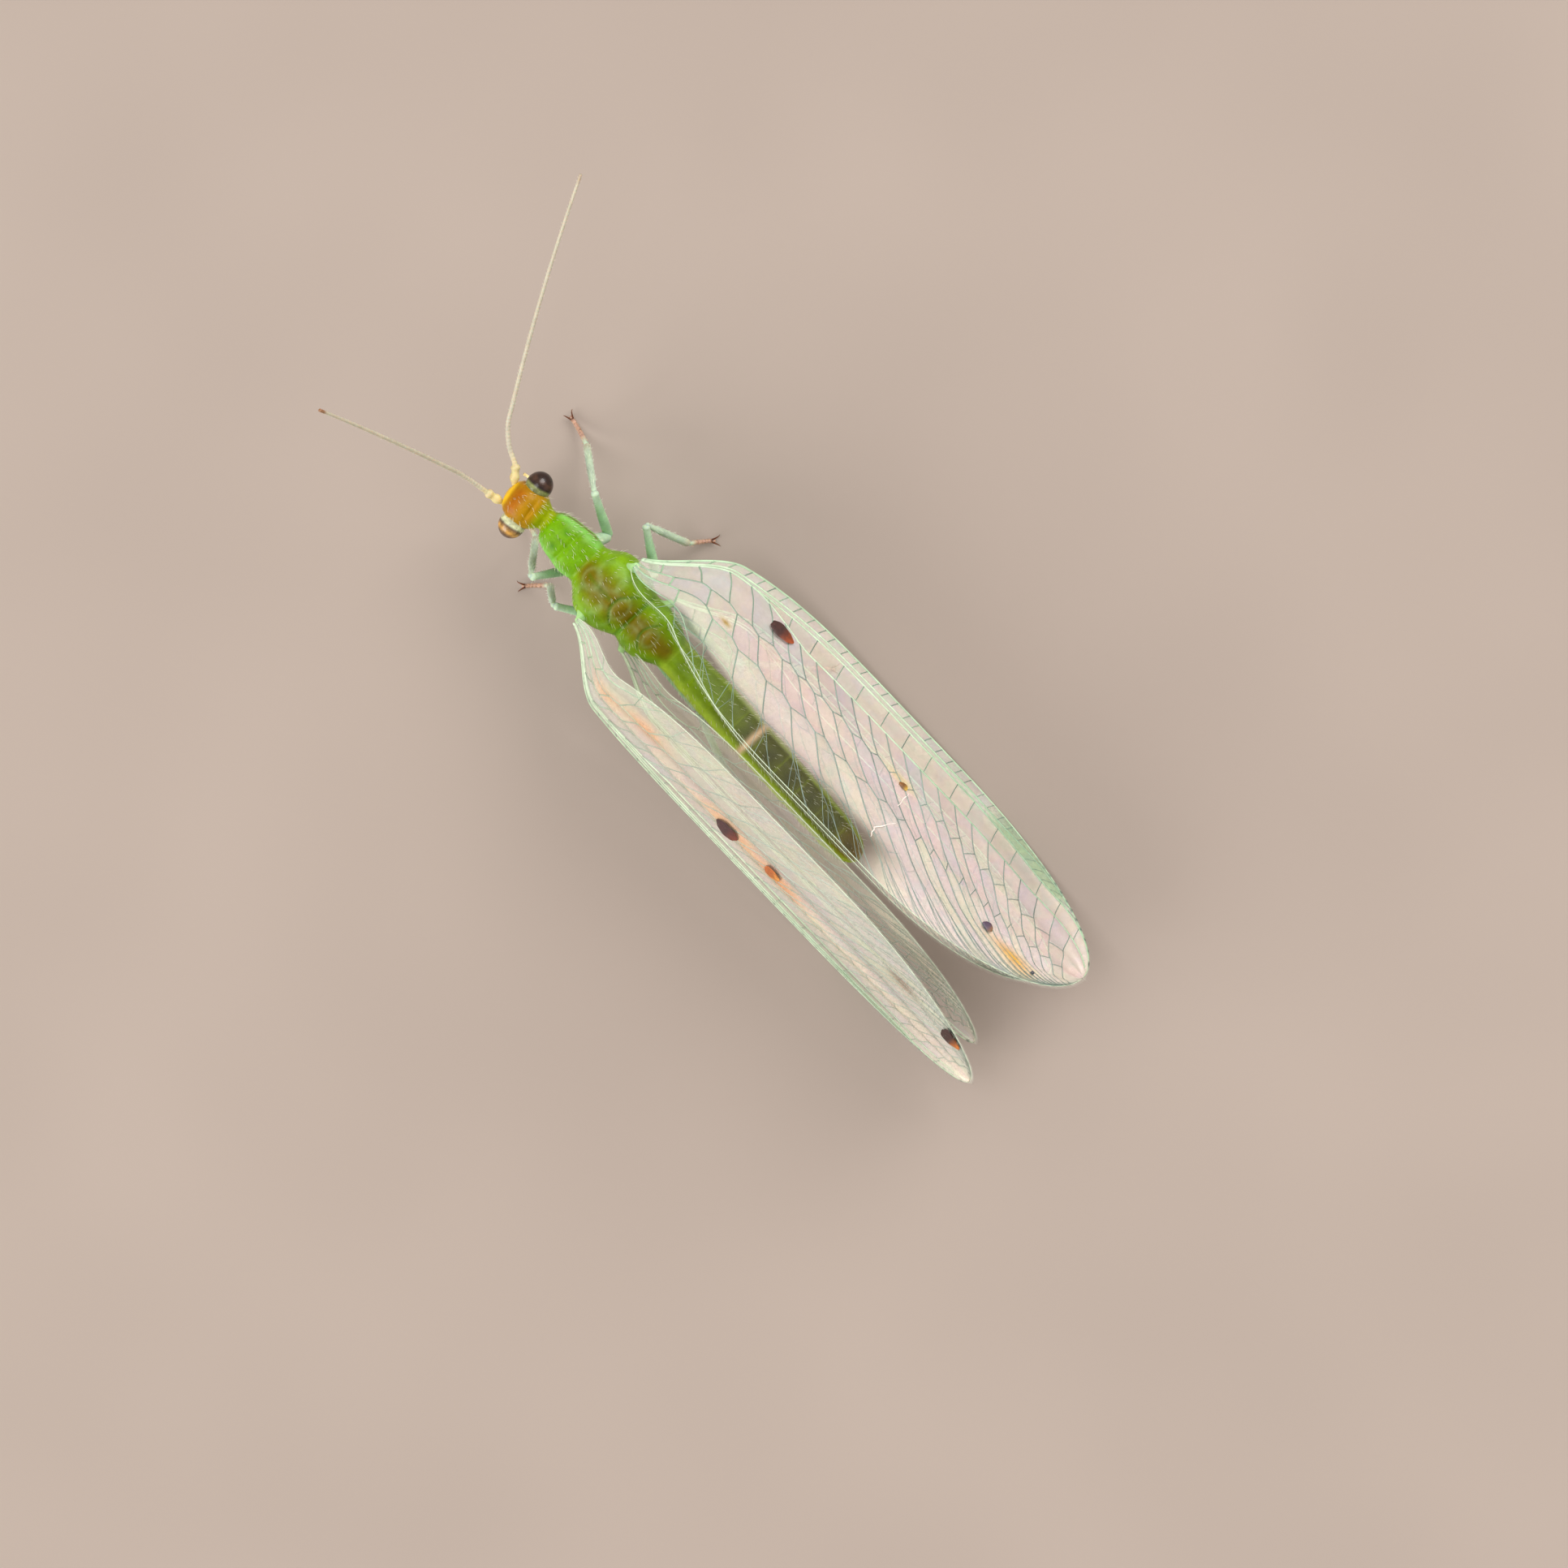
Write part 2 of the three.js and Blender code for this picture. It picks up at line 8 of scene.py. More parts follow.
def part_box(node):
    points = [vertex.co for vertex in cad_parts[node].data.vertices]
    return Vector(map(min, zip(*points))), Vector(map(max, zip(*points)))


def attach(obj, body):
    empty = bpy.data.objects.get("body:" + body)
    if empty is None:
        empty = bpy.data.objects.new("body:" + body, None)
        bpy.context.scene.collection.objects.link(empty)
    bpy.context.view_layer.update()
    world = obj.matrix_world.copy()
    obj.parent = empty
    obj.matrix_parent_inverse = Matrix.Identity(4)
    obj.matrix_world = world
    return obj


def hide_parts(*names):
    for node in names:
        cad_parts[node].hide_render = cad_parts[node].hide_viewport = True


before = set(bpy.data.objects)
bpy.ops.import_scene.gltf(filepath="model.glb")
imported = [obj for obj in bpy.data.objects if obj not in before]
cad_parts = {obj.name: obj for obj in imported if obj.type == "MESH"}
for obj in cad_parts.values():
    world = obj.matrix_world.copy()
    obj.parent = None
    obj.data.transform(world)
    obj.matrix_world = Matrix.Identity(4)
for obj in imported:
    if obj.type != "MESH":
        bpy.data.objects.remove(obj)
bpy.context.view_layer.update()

rng = np.random.default_rng(7)

MM = 0.001
SIDES = {"left": -1, "right": 1}

# Sizes of the solids, from the same driving dimensions
FOREWING_CHORD = 5.3
RIDGE_HALF_GAP = 0.37
RIDGE_HEIGHT = 5.42
RIDGE_FALL = math.tan(math.radians(4.5))
ROOF_SLOPE_TOP = math.radians(52)
ROOF_SLOPE_FOOT = math.radians(70)
FOREWING_ROOT = 3.1
HINDWING_ROOT = 4.36
PROTHORAX_FRONT = 0.86
HEAD_PLACE = np.array([-0.12, 0.1, 2.5])
HEAD_YAW = math.radians(11.3)
HEAD_FRONT = 0.58
SOCKET = np.array([0.3, -HEAD_FRONT, 0.1])
ANTENNA_LENGTH = 8.0
ABDOMEN_FROM = 5.46
ABDOMEN_LENGTH = 6.9
ABDOMEN_SEGMENTS = 9
ABDOMEN_END = 12.4
ABDOMEN_LEAN = -0.2
BODY_HEIGHT = 2.4

# Real sizes that the solids don't have
VEIN_RADII = {"costa": 0.036, "long": 0.026, "branch": 0.019, "cross": 0.016, "fine": 0.013}
WING_SKIN = 0.006
HAIR_RADIUS = 0.005
FINE_HAIR_RADIUS = 0.003
HAIR_SPACING = 0.16
FRINGE_SPACING = 0.05

X0 = (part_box("forewing_left")[0].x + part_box("forewing_right")[1].x) / 2
Y0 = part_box("prothorax")[1].y + MM * PROTHORAX_FRONT


def spot(places):
    """Metres in the row frame, from places (sideways, behind the head, height) in millimetres."""
    return np.asarray(places, float) * (MM, -MM, MM) + (X0, Y0, 0)


def linear(code, alpha=1.0):
    """An sRGB hex colour as linear numbers: each channel to the power 2.4, and a line near black."""
    c = np.array([int(code[i : i + 2], 16) for i in (0, 2, 4)]) / 255
    c = np.where(c <= 0.04045, c / 12.92, ((c + 0.055) / 1.055) ** 2.4)
    return np.append(c, alpha)


def smooth(t):
    """0 below 0, 1 above 1, and 3t^2 - 2t^3 between."""
    t = np.clip(t, 0, 1)
    return t * t * (3 - 2 * t)


def hump(t, middle, width):
    """A bell of height 1 about its middle."""
    return np.exp(-(((t - middle) / width) ** 2))


def blend(base, over, weight):
    """Colours between base and over, by a weight from 0 to 1 at each point."""
    w = np.clip(np.asarray(weight), 0, 1)[..., None]
    return base * (1 - w) + over * w


def fade(base, over, weight):
    """A run of colours along a path, from one base colour to another by its weights."""
    return blend(np.broadcast_to(base, (len(weight), 4)), over, weight)


def curve(stations, values, at):
    """A smooth curve through given values: cubic pieces whose slopes are those of the neighbours."""
    s, v = np.asarray(stations, float), np.asarray(values, float)
    slope = np.gradient(v, s)
    k = np.clip(np.searchsorted(s, at) - 1, 0, len(s) - 2)
    h = s[k + 1] - s[k]
    t = np.clip((at - s[k]) / h, 0, 1)
    return (
        (1 + 2 * t) * (1 - t) ** 2 * v[k]
        + t * (1 - t) ** 2 * h * slope[k]
        + t * t * (3 - 2 * t) * v[k + 1]
        - t * t * (1 - t) * h * slope[k + 1]
    )


def unit(v):
    """The vectors, each divided by its length."""
    return v / np.maximum(np.linalg.norm(v, axis=-1, keepdims=True), 1e-9)


# Making meshes
def grid_faces(rows, columns, around):
    """Quads between neighbouring rows and columns of a grid, closed round its columns if around."""
    r = np.arange(rows - 1)[:, None]
    c = np.arange(columns if around else columns - 1)[None, :]
    a = r * columns + c
    b = r * columns + (c + 1) % columns
    return np.stack([a, b, b + columns, a + columns], -1).reshape(-1, 4)


def rings_part(rings, tint=None):
    """A closed skin over rings of points. Each end closes on the middle of its last ring."""
    rows, sides, _ = rings.shape
    ends = rings[[0, -1]].mean(1)
    points = np.concatenate([rings.reshape(-1, 3), ends])
    k = np.arange(sides)
    on = (k + 1) % sides
    last = (rows - 1) * sides
    first_pole, last_pole = rows * sides, rows * sides + 1
    caps = np.concatenate(
        [
            np.stack([on, k, np.full(sides, first_pole)], -1),
            np.stack([last + k, last + on, np.full(sides, last_pole)], -1),
        ]
    )
    if tint is not None:
        tint = np.concatenate([tint.reshape(-1, 4), tint[[0, -1]].reshape(2, -1, 4).mean(1)])
    return points, [grid_faces(rows, sides, True), caps], tint


def tube_part(path, radius, sides=8, reference=(0, 0, 1), flat=1.0, tint=None):
    """A closed tube: at each point of the path a ring of its radius, square to the path. The reference says
    which way its flattened side looks."""
    path = np.asarray(path, float)
    radius = np.broadcast_to(radius, len(path))
    along = unit(np.gradient(path, axis=0))
    across = unit(np.cross(along, np.broadcast_to(reference, path.shape)))
    up = np.cross(across, along)
    turn = 2 * np.pi * np.arange(sides) / sides
    ring = np.cos(turn)[:, None] * across[:, None] + flat * np.sin(turn)[:, None] * up[:, None]
    rings = path[:, None] + radius[:, None, None] * ring
    if tint is not None:
        tint = np.broadcast_to(np.reshape(tint, (-1, 1, 4)), (len(path), sides, 4))
    return rings_part(rings, tint)


def hairs_part(roots, ways, lengths, radius, bend=(0, 0, 0), tint=None):
    """Many hairs as cones of three sides: each runs from its root along its way, bent at its tip."""
    ways = unit(ways)
    lengths = np.broadcast_to(lengths, len(roots))[:, None]
    across = unit(np.cross(ways, (0.31, 0.42, 0.85)))
    up = np.cross(ways, across)
    turn = 2 * np.pi * np.arange(3) / 3
    ring = np.cos(turn)[:, None] * across[:, None] + np.sin(turn)[:, None] * up[:, None]
    bend = np.asarray(bend, float)
    middle = roots + ways * lengths * 0.55 + bend * lengths * 0.2
    tip = roots + ways * lengths * 0.95 + bend * lengths * 0.6
    points = np.concatenate(
        [roots[:, None] + radius * ring, middle[:, None] + 0.6 * radius * ring, tip[:, None]], axis=1
    )
    first = 7 * np.arange(len(roots))[:, None, None]
    quads = np.array([[0, 1, 4, 3], [1, 2, 5, 4], [2, 0, 3, 5]]) + first
    ends = np.array([[3, 4, 6], [4, 5, 6], [5, 3, 6], [2, 1, 0]]) + first
    if tint is not None:
        tint = np.broadcast_to(tint, (7 * len(roots), 4))
    return points.reshape(-1, 3), [quads.reshape(-1, 4), ends.reshape(-1, 3)], tint


def outward(points, faces):
    """The faces, turned round if they enclose a negative volume."""
    volume = 0.0
    for f in faces:
        p = points[f]
        for k in range(1, f.shape[1] - 1):
            volume += np.einsum("ij,ij->", p[:, 0], np.cross(p[:, k], p[:, k + 1]))
    return faces if volume > 0 else [f[:, ::-1] for f in faces]


def piece(name, parts, material, replaces=()):
    """One object from a list of (points, faces, tint) parts in millimetres. It rides on the only body."""
    points, faces, tints, count = [], [], [], 0
    for places, part_faces, tint in parts:
        places = spot(places)
        faces += [numbers + count for numbers in outward(places, part_faces)]
        points.append(places)
        tints.append(np.ones((len(places), 4)) if tint is None else tint)
        count += len(places)
    points = np.concatenate(points)
    corners = np.concatenate([f.ravel() for f in faces])
    sizes = np.concatenate([np.full(len(f), f.shape[1]) for f in faces])
    mesh = bpy.data.meshes.new(name)
    mesh.vertices.add(len(points))
    mesh.vertices.foreach_set("co", points.ravel())
    mesh.loops.add(len(corners))
    mesh.loops.foreach_set("vertex_index", corners)
    mesh.polygons.add(len(sizes))
    mesh.polygons.foreach_set("loop_start", np.concatenate([[0], np.cumsum(sizes)[:-1]]))
    mesh.update(calc_edges=True)
    mesh.polygons.foreach_set("use_smooth", np.full(len(sizes), True))
    tint = mesh.color_attributes.new("Tint", "FLOAT_COLOR", "POINT")
    tint.data.foreach_set("color", np.concatenate(tints).astype(np.float32).ravel())
    mesh.materials.append(material)
    made = bpy.data.objects.new(name, mesh)
    bpy.context.scene.collection.objects.link(made)
    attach(made, "root")
    if replaces:
        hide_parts(*replaces)


def rod(start, end, count, bow=0.0):
    """Places from start to end, bowed upwards by half a sine."""
    t = np.linspace(0, 1, count)[:, None]
    start, end = np.asarray(start, float), np.asarray(end, float)
    return start * (1 - t) + end * t + bow * np.sin(np.pi * t) * (0, 0, 1)


def rounded(s, end=0.06):
    """The share of a rod's thickness at shares of its length, with each end closed as a half circle."""
    return np.sqrt(np.clip(1 - (1 - np.clip(np.minimum(s, 1 - s) / end, 0, 1)) ** 2, 0.01, 1))


def over_floor(points, lowest=0.0):
    """The points, with those lower than that raised to it."""
    return np.where([False, False, True], np.maximum(points, lowest), points)


# Camera: at the photo's angle, with its frame 39.6 mm wide at the insect and the head to the upper left
PIXELS_PER_MM = 48.8
FRAME_PIXELS = 1932
VIEW_ROLL = math.radians(12.5)
FRAME_MIDDLE = (-0.133, 9.68, 2.5)
# Where the head points in the frame: shares to the right and up
AHEAD_IN_FRAME = (-0.679, 0.734)
CAMERA_DISTANCE = 0.25
SENSOR = 36.0


def add_camera():
    """A long lens on the middle of the frame, rolled round the body's axis and turned in the frame."""
    to_camera = np.array([math.sin(VIEW_ROLL), 0, math.cos(VIEW_ROLL)])
    sideways = np.array([math.cos(VIEW_ROLL), 0, -math.sin(VIEW_ROLL)])
    ahead = np.array([0, 1, 0])
    right = AHEAD_IN_FRAME[1] * sideways + AHEAD_IN_FRAME[0] * ahead
    up = -AHEAD_IN_FRAME[0] * sideways + AHEAD_IN_FRAME[1] * ahead
    data = bpy.data.cameras.new("camera")
    data.sensor_width = SENSOR
    data.lens = SENSOR * CAMERA_DISTANCE / (MM * FRAME_PIXELS / PIXELS_PER_MM)
    data.clip_start = 0.01
    camera = bpy.data.objects.new("camera", data)
    matrix = np.eye(4)
    matrix[:3, 0], matrix[:3, 1], matrix[:3, 2] = right, up, to_camera
    matrix[:3, 3] = spot(FRAME_MIDDLE) + CAMERA_DISTANCE * to_camera
    bpy.context.scene.collection.objects.link(camera)
    camera.matrix_world = Matrix(matrix.tolist())
    bpy.context.scene.camera = camera


add_camera()


# Materials
# Width of a facet of the eyes, and the depth in nanometres of the film that gives the wings their sheen
FACET = 0.034
SHEEN_DEPTH = 420.0
# The node that reads a piece's own colours
OWN_TINT = ("VertexColor", {"layer_name": "Tint"})
# Bands of the film's painted sheen, multiplied into its colour: place along the ramp, and colour
PAINTED_SHEEN_BANDS = [(0.3, "DCE9DE"), (0.42, "F9F3E4"), (0.5, "FBE8E2"), (0.58, "EEDFEA"), (0.68, "E2EDE7")]


def set_inputs(tree, made, inputs):
    """Gives a node's inputs their values, and links those whose value is a socket."""
    for key, value in inputs.items():
        if isinstance(value, bpy.types.NodeSocket):
            tree.links.new(value, made.inputs[key])
        else:
            made.inputs[key].default_value = value


def node(tree, kind, settings=None, inputs=None):
    """Adds a node. Settings are its properties. Inputs are values, or sockets that are linked."""
    made = tree.nodes.new("ShaderNode" + kind)
    for key, value in (settings or {}).items():
        setattr(made, key, value)
    set_inputs(tree, made, inputs or {})
    return made


def new_material(name):
    """A new material with its place in metres ready: (material, tree, surface, place)."""
    material = bpy.data.materials.new(name)
    material.use_nodes = True
    tree = material.node_tree
    surface = tree.nodes["Principled BSDF"]
    place = node(tree, "TexCoord").outputs["Object"]
    return material, tree, surface, place


def blobs(place, size, detail=3.0, rough=0.55):
    """The inputs of a noise whose blobs are about size millimetres across."""
    return {"Vector": place, "Scale": 1 / (MM * size), "Detail": detail, "Roughness": rough}


def mottled(tree, colour, inputs, dark, light):
    """The colour with its value multiplied by a noise: by dark where the noise is 0.3, by light at 0.7."""
    pattern = node(tree, "TexNoise", None, inputs).outputs["Fac"]
    limits = {"From Min": 0.3, "From Max": 0.7, "To Min": dark, "To Max": light}
    spread = node(tree, "MapRange", None, {"Value": pattern, **limits}).outputs["Result"]
    return node(tree, "HueSaturation", None, {"Color": colour, "Value": spread}).outputs["Color"]


def wrinkled(tree, inputs, depth, strength=0.6):
    """The direction of a surface raised by a noise, depth millimetres from its lowest to its highest."""
    height = node(tree, "TexNoise", None, inputs).outputs["Fac"]
    raised = node(tree, "Bump", None, {"Height": height, "Distance": MM * depth, "Strength": strength})
    return raised.outputs["Normal"]


def cuticle(name, roughness, glow, wrinkle):
    """Living insect cuticle: thin waxy chitin over green blood and fat, so light goes in and comes out a
    little way off, with fine wrinkles and a soft gloss."""
    material, tree, surface, place = new_material(name)
    tint = node(tree, *OWN_TINT)
    clouded = mottled(tree, tint.outputs["Color"], blobs(place, 0.32), dark=0.84, light=1.12)
    set_inputs(
        tree,
        surface,
        {
            "Base Color": mottled(tree, clouded, blobs(place, 0.06, detail=2), dark=0.93, light=1.06),
            "Roughness": roughness,
            "IOR": 1.5,
            "Specular IOR Level": 0.12,
            "Subsurface Weight": glow,
            "Subsurface Radius": (1.0, 0.9, 0.3),
            "Subsurface Scale": 0.1 * MM,
            "Coat Weight": 0.04,
            "Coat Roughness": 0.15,
            "Normal": wrinkled(tree, blobs(place, wrinkle, detail=4, rough=0.6), depth=0.3 * wrinkle),
        },
    )
    return material


def cornea_material():
    """Compound eye: clear cornea in close facets over dark pigment. The facets are drawn 0.03 mm across,
    a little coarser than the real ones, so that they show."""
    material, tree, surface, place = new_material("eye cornea")
    tint = node(tree, *OWN_TINT)
    cells = {"Vector": place, "Scale": 1 / (MM * FACET)}
    edges = node(tree, "TexVoronoi", {"feature": "DISTANCE_TO_EDGE"}, cells).outputs["Distance"]
    domes = node(tree, "Math", {"operation": "MINIMUM"}, {0: edges, 1: 0.25}).outputs[0]
    raised = node(tree, "Bump", None, {"Height": domes, "Distance": MM * 0.01, "Strength": 0.5})
    set_inputs(
        tree,
        surface,
        {
            "Base Color": mottled(tree, tint.outputs["Color"], blobs(place, 0.12), dark=0.6, light=1.5),
            "Roughness": 0.22,
            "Specular IOR Level": 0.3,
            "Coat Weight": 0.3,
            "Coat Roughness": 0.06,
            "Normal": raised.outputs["Normal"],
        },
    )
    return material


def feeler_material():
    """Feeler cuticle: dry, pale chitin, ringed and a little rough."""
    material, tree, surface, place = new_material("feeler cuticle")
    tint = node(tree, *OWN_TINT)
    set_inputs(
        tree,
        surface,
        {
            "Base Color": mottled(tree, tint.outputs["Color"], blobs(place, 0.2), dark=0.9, light=1.08),
            "Roughness": 0.5,
            "Subsurface Weight": 0.2,
            "Subsurface Scale": 0.08 * MM,
            "Normal": wrinkled(tree, blobs(place, 0.03), depth=0.006),
        },
    )
    return material


def membrane_material():
    """Wing membrane: a chitin film a few thousandths of a millimetre thick. It is clear, and its two faces
    reflect bands of pink, cream and green that follow its thickness; such bands are also painted into its
    colour as painted sheen."""
    material, tree, surface, place = new_material("wing membrane")
    tint = node(tree, *OWN_TINT)
    # Painted sheen: a noise picks pink, cream and green bands from the ramp, multiplied into the film's
    # colour
    bands = node(tree, "TexNoise", None, blobs(place, 0.5, rough=0.6)).outputs["Fac"]
    ramp = node(tree, "ValToRGB", None, {"Fac": bands})
    while len(ramp.color_ramp.elements) < len(PAINTED_SHEEN_BANDS):
        ramp.color_ramp.elements.new(0.5)
    for element, (at, code) in zip(ramp.color_ramp.elements, PAINTED_SHEEN_BANDS):
        element.position = at
        element.color = linear(code)
    with_painted_sheen = node(
        tree,
        "Mix",
        {"data_type": "RGBA", "blend_type": "MULTIPLY"},
        {"Factor": 0.5, 6: tint.outputs["Color"], 7: ramp.outputs["Color"]},
    ).outputs[2]
    set_inputs(
        tree,
        surface,
        {
            "Base Color": mottled(tree, with_painted_sheen, blobs(place, 0.08, rough=0.65), dark=0.86, light=1.14),
            "Alpha": tint.outputs["Alpha"],
            "Roughness": 0.2,
            "IOR": 1.56,
            "Specular IOR Level": 0.55,
            "Thin Film Thickness": SHEEN_DEPTH,
            "Thin Film IOR": 1.56,
            "Coat Weight": 0.15,
            "Coat Roughness": 0.12,
            "Normal": wrinkled(tree, blobs(place, 0.2, detail=4, rough=0.6), depth=0.03, strength=0.7),
        },
    )
    return material


def vein_material():
    """Vein cuticle: hollow chitin tubes with green blood in them, paler where they are thick."""
    material, tree, surface, place = new_material("vein cuticle")
    tint = node(tree, *OWN_TINT)
    set_inputs(
        tree,
        surface,
        {
            "Base Color": mottled(tree, tint.outputs["Color"], blobs(place, 0.5), dark=0.8, light=1.15),
            "Roughness": 0.42,
            "Coat Weight": 0.2,
            "Coat Roughness": 0.2,
            "Normal": wrinkled(tree, blobs(place, 0.03, detail=2), depth=0.004),
        },
    )
    return material


def bristle_material():
    """Hairs: solid chitin bristles, pale and glossy."""
    material, tree, surface, place = new_material("hair chitin")
    tint = node(tree, *OWN_TINT)
    colour = mottled(tree, tint.outputs["Color"], blobs(place, 0.3), dark=0.85, light=1.1)
    set_inputs(tree, surface, {"Base Color": colour, "Roughness": 0.35})
    return material


def pigment_material():
    """Dried dark pigment lying on the membrane: crusted, with a dull gloss."""
    material, tree, surface, place = new_material("dry pigment")
    tint = node(tree, *OWN_TINT)
    colour = mottled(tree, tint.outputs["Color"], blobs(place, 0.12, detail=4), dark=0.6, light=1.35)
    crust = wrinkled(tree, blobs(place, 0.06), depth=0.02)
    set_inputs(tree, surface, {"Base Color": colour, "Roughness": 0.45, "Normal": crust})
    return material


BODY_CUTICLE = cuticle("body cuticle", roughness=0.36, glow=0.16, wrinkle=0.05)
LEG_CUTICLE = cuticle("leg cuticle", roughness=0.32, glow=0.45, wrinkle=0.035)
CORNEA = cornea_material()
FEELER_CUTICLE = feeler_material()
MEMBRANE = membrane_material()
VEIN_CUTICLE = vein_material()
HAIR = bristle_material()
PIGMENT = pigment_material()


def in_head(points):
    """Places in the head's own frame (sideways, behind, up from its middle) as places on the insect."""
    p = np.asarray(points, float)
    x = p[..., 0] * math.cos(HEAD_YAW) + p[..., 1] * math.sin(HEAD_YAW)
    y = p[..., 1] * math.cos(HEAD_YAW) - p[..., 0] * math.sin(HEAD_YAW)
    return np.stack([x, y, p[..., 2]], -1) + HEAD_PLACE


# Middle and half widths of an eye, in the head's own frame
EYE_MIDDLE = np.array([0.6, -0.02, 0.05])
EYE_RADII = np.array([0.38, 0.35, 0.385])


# Body: one skin from the face to the tip of the abdomen. Each ring has a place behind the middle of the
# head, a half width, a top and a bottom.
BODY_STATIONS = {
    "head": [
        (-0.5, 0.1, 2.62, 2.3), (-0.46, 0.26, 2.78, 2.12), (-0.36, 0.41, 2.93, 1.98),
        (-0.2, 0.5, 3.04, 1.91), (0.0, 0.55, 3.1, 1.9), (0.22, 0.56, 3.08, 1.95),
        (0.42, 0.5, 3.0, 2.06), (0.58, 0.38, 2.88, 2.18),
    ],
    "neck": [
        (0.68, 0.31, 2.78, 2.24), (0.78, 0.32, 2.78, 2.24),
    ],
    "prothorax": [
        (0.88, 0.43, 2.88, 2.18), (1.1, 0.53, 2.98, 2.1), (1.5, 0.61, 3.0, 2.06),
        (1.85, 0.65, 3.01, 2.0), (2.08, 0.62, 2.97, 1.95),
    ],
    "mesothorax": [
        (2.24, 0.6, 2.95, 1.9), (2.42, 0.7, 3.12, 1.8), (2.7, 0.93, 3.34, 1.72),
        (3.05, 1.02, 3.42, 1.7), (3.45, 0.99, 3.38, 1.7), (3.8, 0.84, 3.24, 1.74),
    ],
    "metathorax": [
        (4.02, 0.74, 3.12, 1.78), (4.3, 0.78, 3.18, 1.78), (4.7, 0.76, 3.12, 1.78),
        (5.05, 0.62, 2.95, 1.8), (5.3, 0.5, 2.82, 1.82),
    ],
    "abdomen": [
        (5.55, 0.47, 2.8, 1.82), (6.2, 0.51, 2.8, 1.74), (7.2, 0.54, 2.78, 1.62),
        (8.3, 0.53, 2.7, 1.52), (9.6, 0.52, 2.56, 1.44), (11.0, 0.49, 2.4, 1.36),
        (11.8, 0.44, 2.25, 1.34), (12.15, 0.33, 2.06, 1.38), (12.32, 0.18, 1.9, 1.5),
        (12.38, 0.06, 1.82, 1.6),
    ],
}
BACK, HALF_WIDTH, TOP, BOTTOM = np.array(sum(BODY_STATIONS.values(), [])).T
# Raised plates of the thorax's back: sideways, behind, half width, half length, height
THORAX_LOBES = [
    (0.0, 2.62, 0.22, 0.2, 0.07),
    (0.42, 2.92, 0.26, 0.3, 0.1),
    (0.5, 3.42, 0.22, 0.2, 0.05),
    (0.0, 3.66, 0.24, 0.14, 0.1),
    (0.36, 4.28, 0.22, 0.2, 0.07),
    (0.0, 4.72, 0.2, 0.12, 0.07),
]


def turn_head(points):
    """Turns the places ahead of the neck about the middle of the head, and fades out over the neck."""
    share = 1 - smooth((points[..., 1] - 0.5) / 0.45)
    angle = HEAD_YAW * share
    x = points[..., 0]
    y = points[..., 1] - HEAD_PLACE[1]
    turned = points.copy()
    turned[..., 0] = HEAD_PLACE[0] * share + x * np.cos(angle) + y * np.sin(angle)
    turned[..., 1] = HEAD_PLACE[1] + y * np.cos(angle) - x * np.sin(angle)
    return turned


def abdomen_share(back):
    """0 to 1 along the abdomen."""
    return (back - ABDOMEN_FROM) / ABDOMEN_LENGTH


# Bases of the forewing and the hindwing, each a stub from a place in the thorax to one under the wing
WING_BASES = [((0.45, 3.0, 2.85), (1.1, 3.16, 3.13)), ((0.35, 4.25, 2.6), (0.95, 4.42, 2.38))]
BASE_STEPS = 24
# How far behind the head the pale band lies that is pressed into the abdomen
PALE_BAND = 8.3
BODY_GRID = (460, 80)


def sutures(x, back):
    """1 on the seams of the thorax's back plates: two curved seams before the hind shields, and a cleft."""
    arms = hump(back, 3.42 + 1.3 * x**2, 0.035) * (1 - smooth((np.abs(x) - 0.5) / 0.12))
    rear = hump(back, 4.44 + 1.2 * x**2, 0.03) * (1 - smooth((np.abs(x) - 0.4) / 0.1))
    between = hump(back, 4.02, 0.04)
    cleft = hump(x, 0, 0.025) * smooth((back - 2.4) / 0.1) * (1 - smooth((back - 3.3) / 0.1))
    return np.maximum.reduce([arms, rear, between, 0.6 * cleft])


def body_surface(back, turn):
    """A place on the skin: on the ring at that distance behind the head, at a turn round it. The ring is an
    ellipse whose sine and cosine are raised to a power just under one, which squares it a little. Lobes,
    furrows and the steps between the abdomen's segments are added to it."""
    half = curve(BACK, HALF_WIDTH, back)
    top = curve(BACK, TOP, back)
    bottom = curve(BACK, BOTTOM, back)
    power = 0.86 + 0.1 * smooth((back - 5) / 0.6)
    across = np.sign(np.cos(turn)) * np.abs(np.cos(turn)) ** power
    up = np.sign(np.sin(turn)) * np.abs(np.sin(turn)) ** power
    share = abdomen_share(back)
    place_in_segment = (share * ABDOMEN_SEGMENTS) % 1
    on_abdomen = smooth((back - ABDOMEN_FROM) / 0.3) * (1 - smooth((back - 12.0) / 0.3))
    step = 0.045 * (place_in_segment**1.5 - smooth((place_in_segment - 0.93) / 0.07)) * on_abdomen
    side_fold = -0.05 * hump(np.sin(turn), -0.05, 0.16) * on_abdomen
    swell = 1 + step + side_fold - 0.05 * hump(back, PALE_BAND, 0.07)
    x = across * half * swell
    middle = (top + bottom) / 2
    z = middle + up * (top - bottom) / 2 * swell
    above = np.clip(up, 0, 1) ** 0.5
    for at_x, at_back, wide, long, high in THORAX_LOBES:
        z = z + high * above * hump(np.abs(x), at_x, wide) * hump(back, at_back, long)
    shield = smooth((back - 0.9) / 0.1) * (1 - smooth((back - 1.95) / 0.12))
    z = z - 0.05 * above * shield * hump(back, 1.58, 0.07)
    z = z + 0.035 * shield * hump(np.abs(across), 0.93, 0.07) * above
    z = z - 0.045 * shield * hump(x, 0, 0.03) * above
    z = z - 0.07 * above * hump(back, 0.3, 0.05) * (1 - smooth((back - 0.4) / 0.1)) * hump(x, 0, 0.3)
    z = z - 0.075 * above * sutures(x, back)
    lean = ABDOMEN_LEAN * np.clip(share, 0, 1) ** 2
    return turn_head(np.stack([x + lean, back, z], -1)), across, up


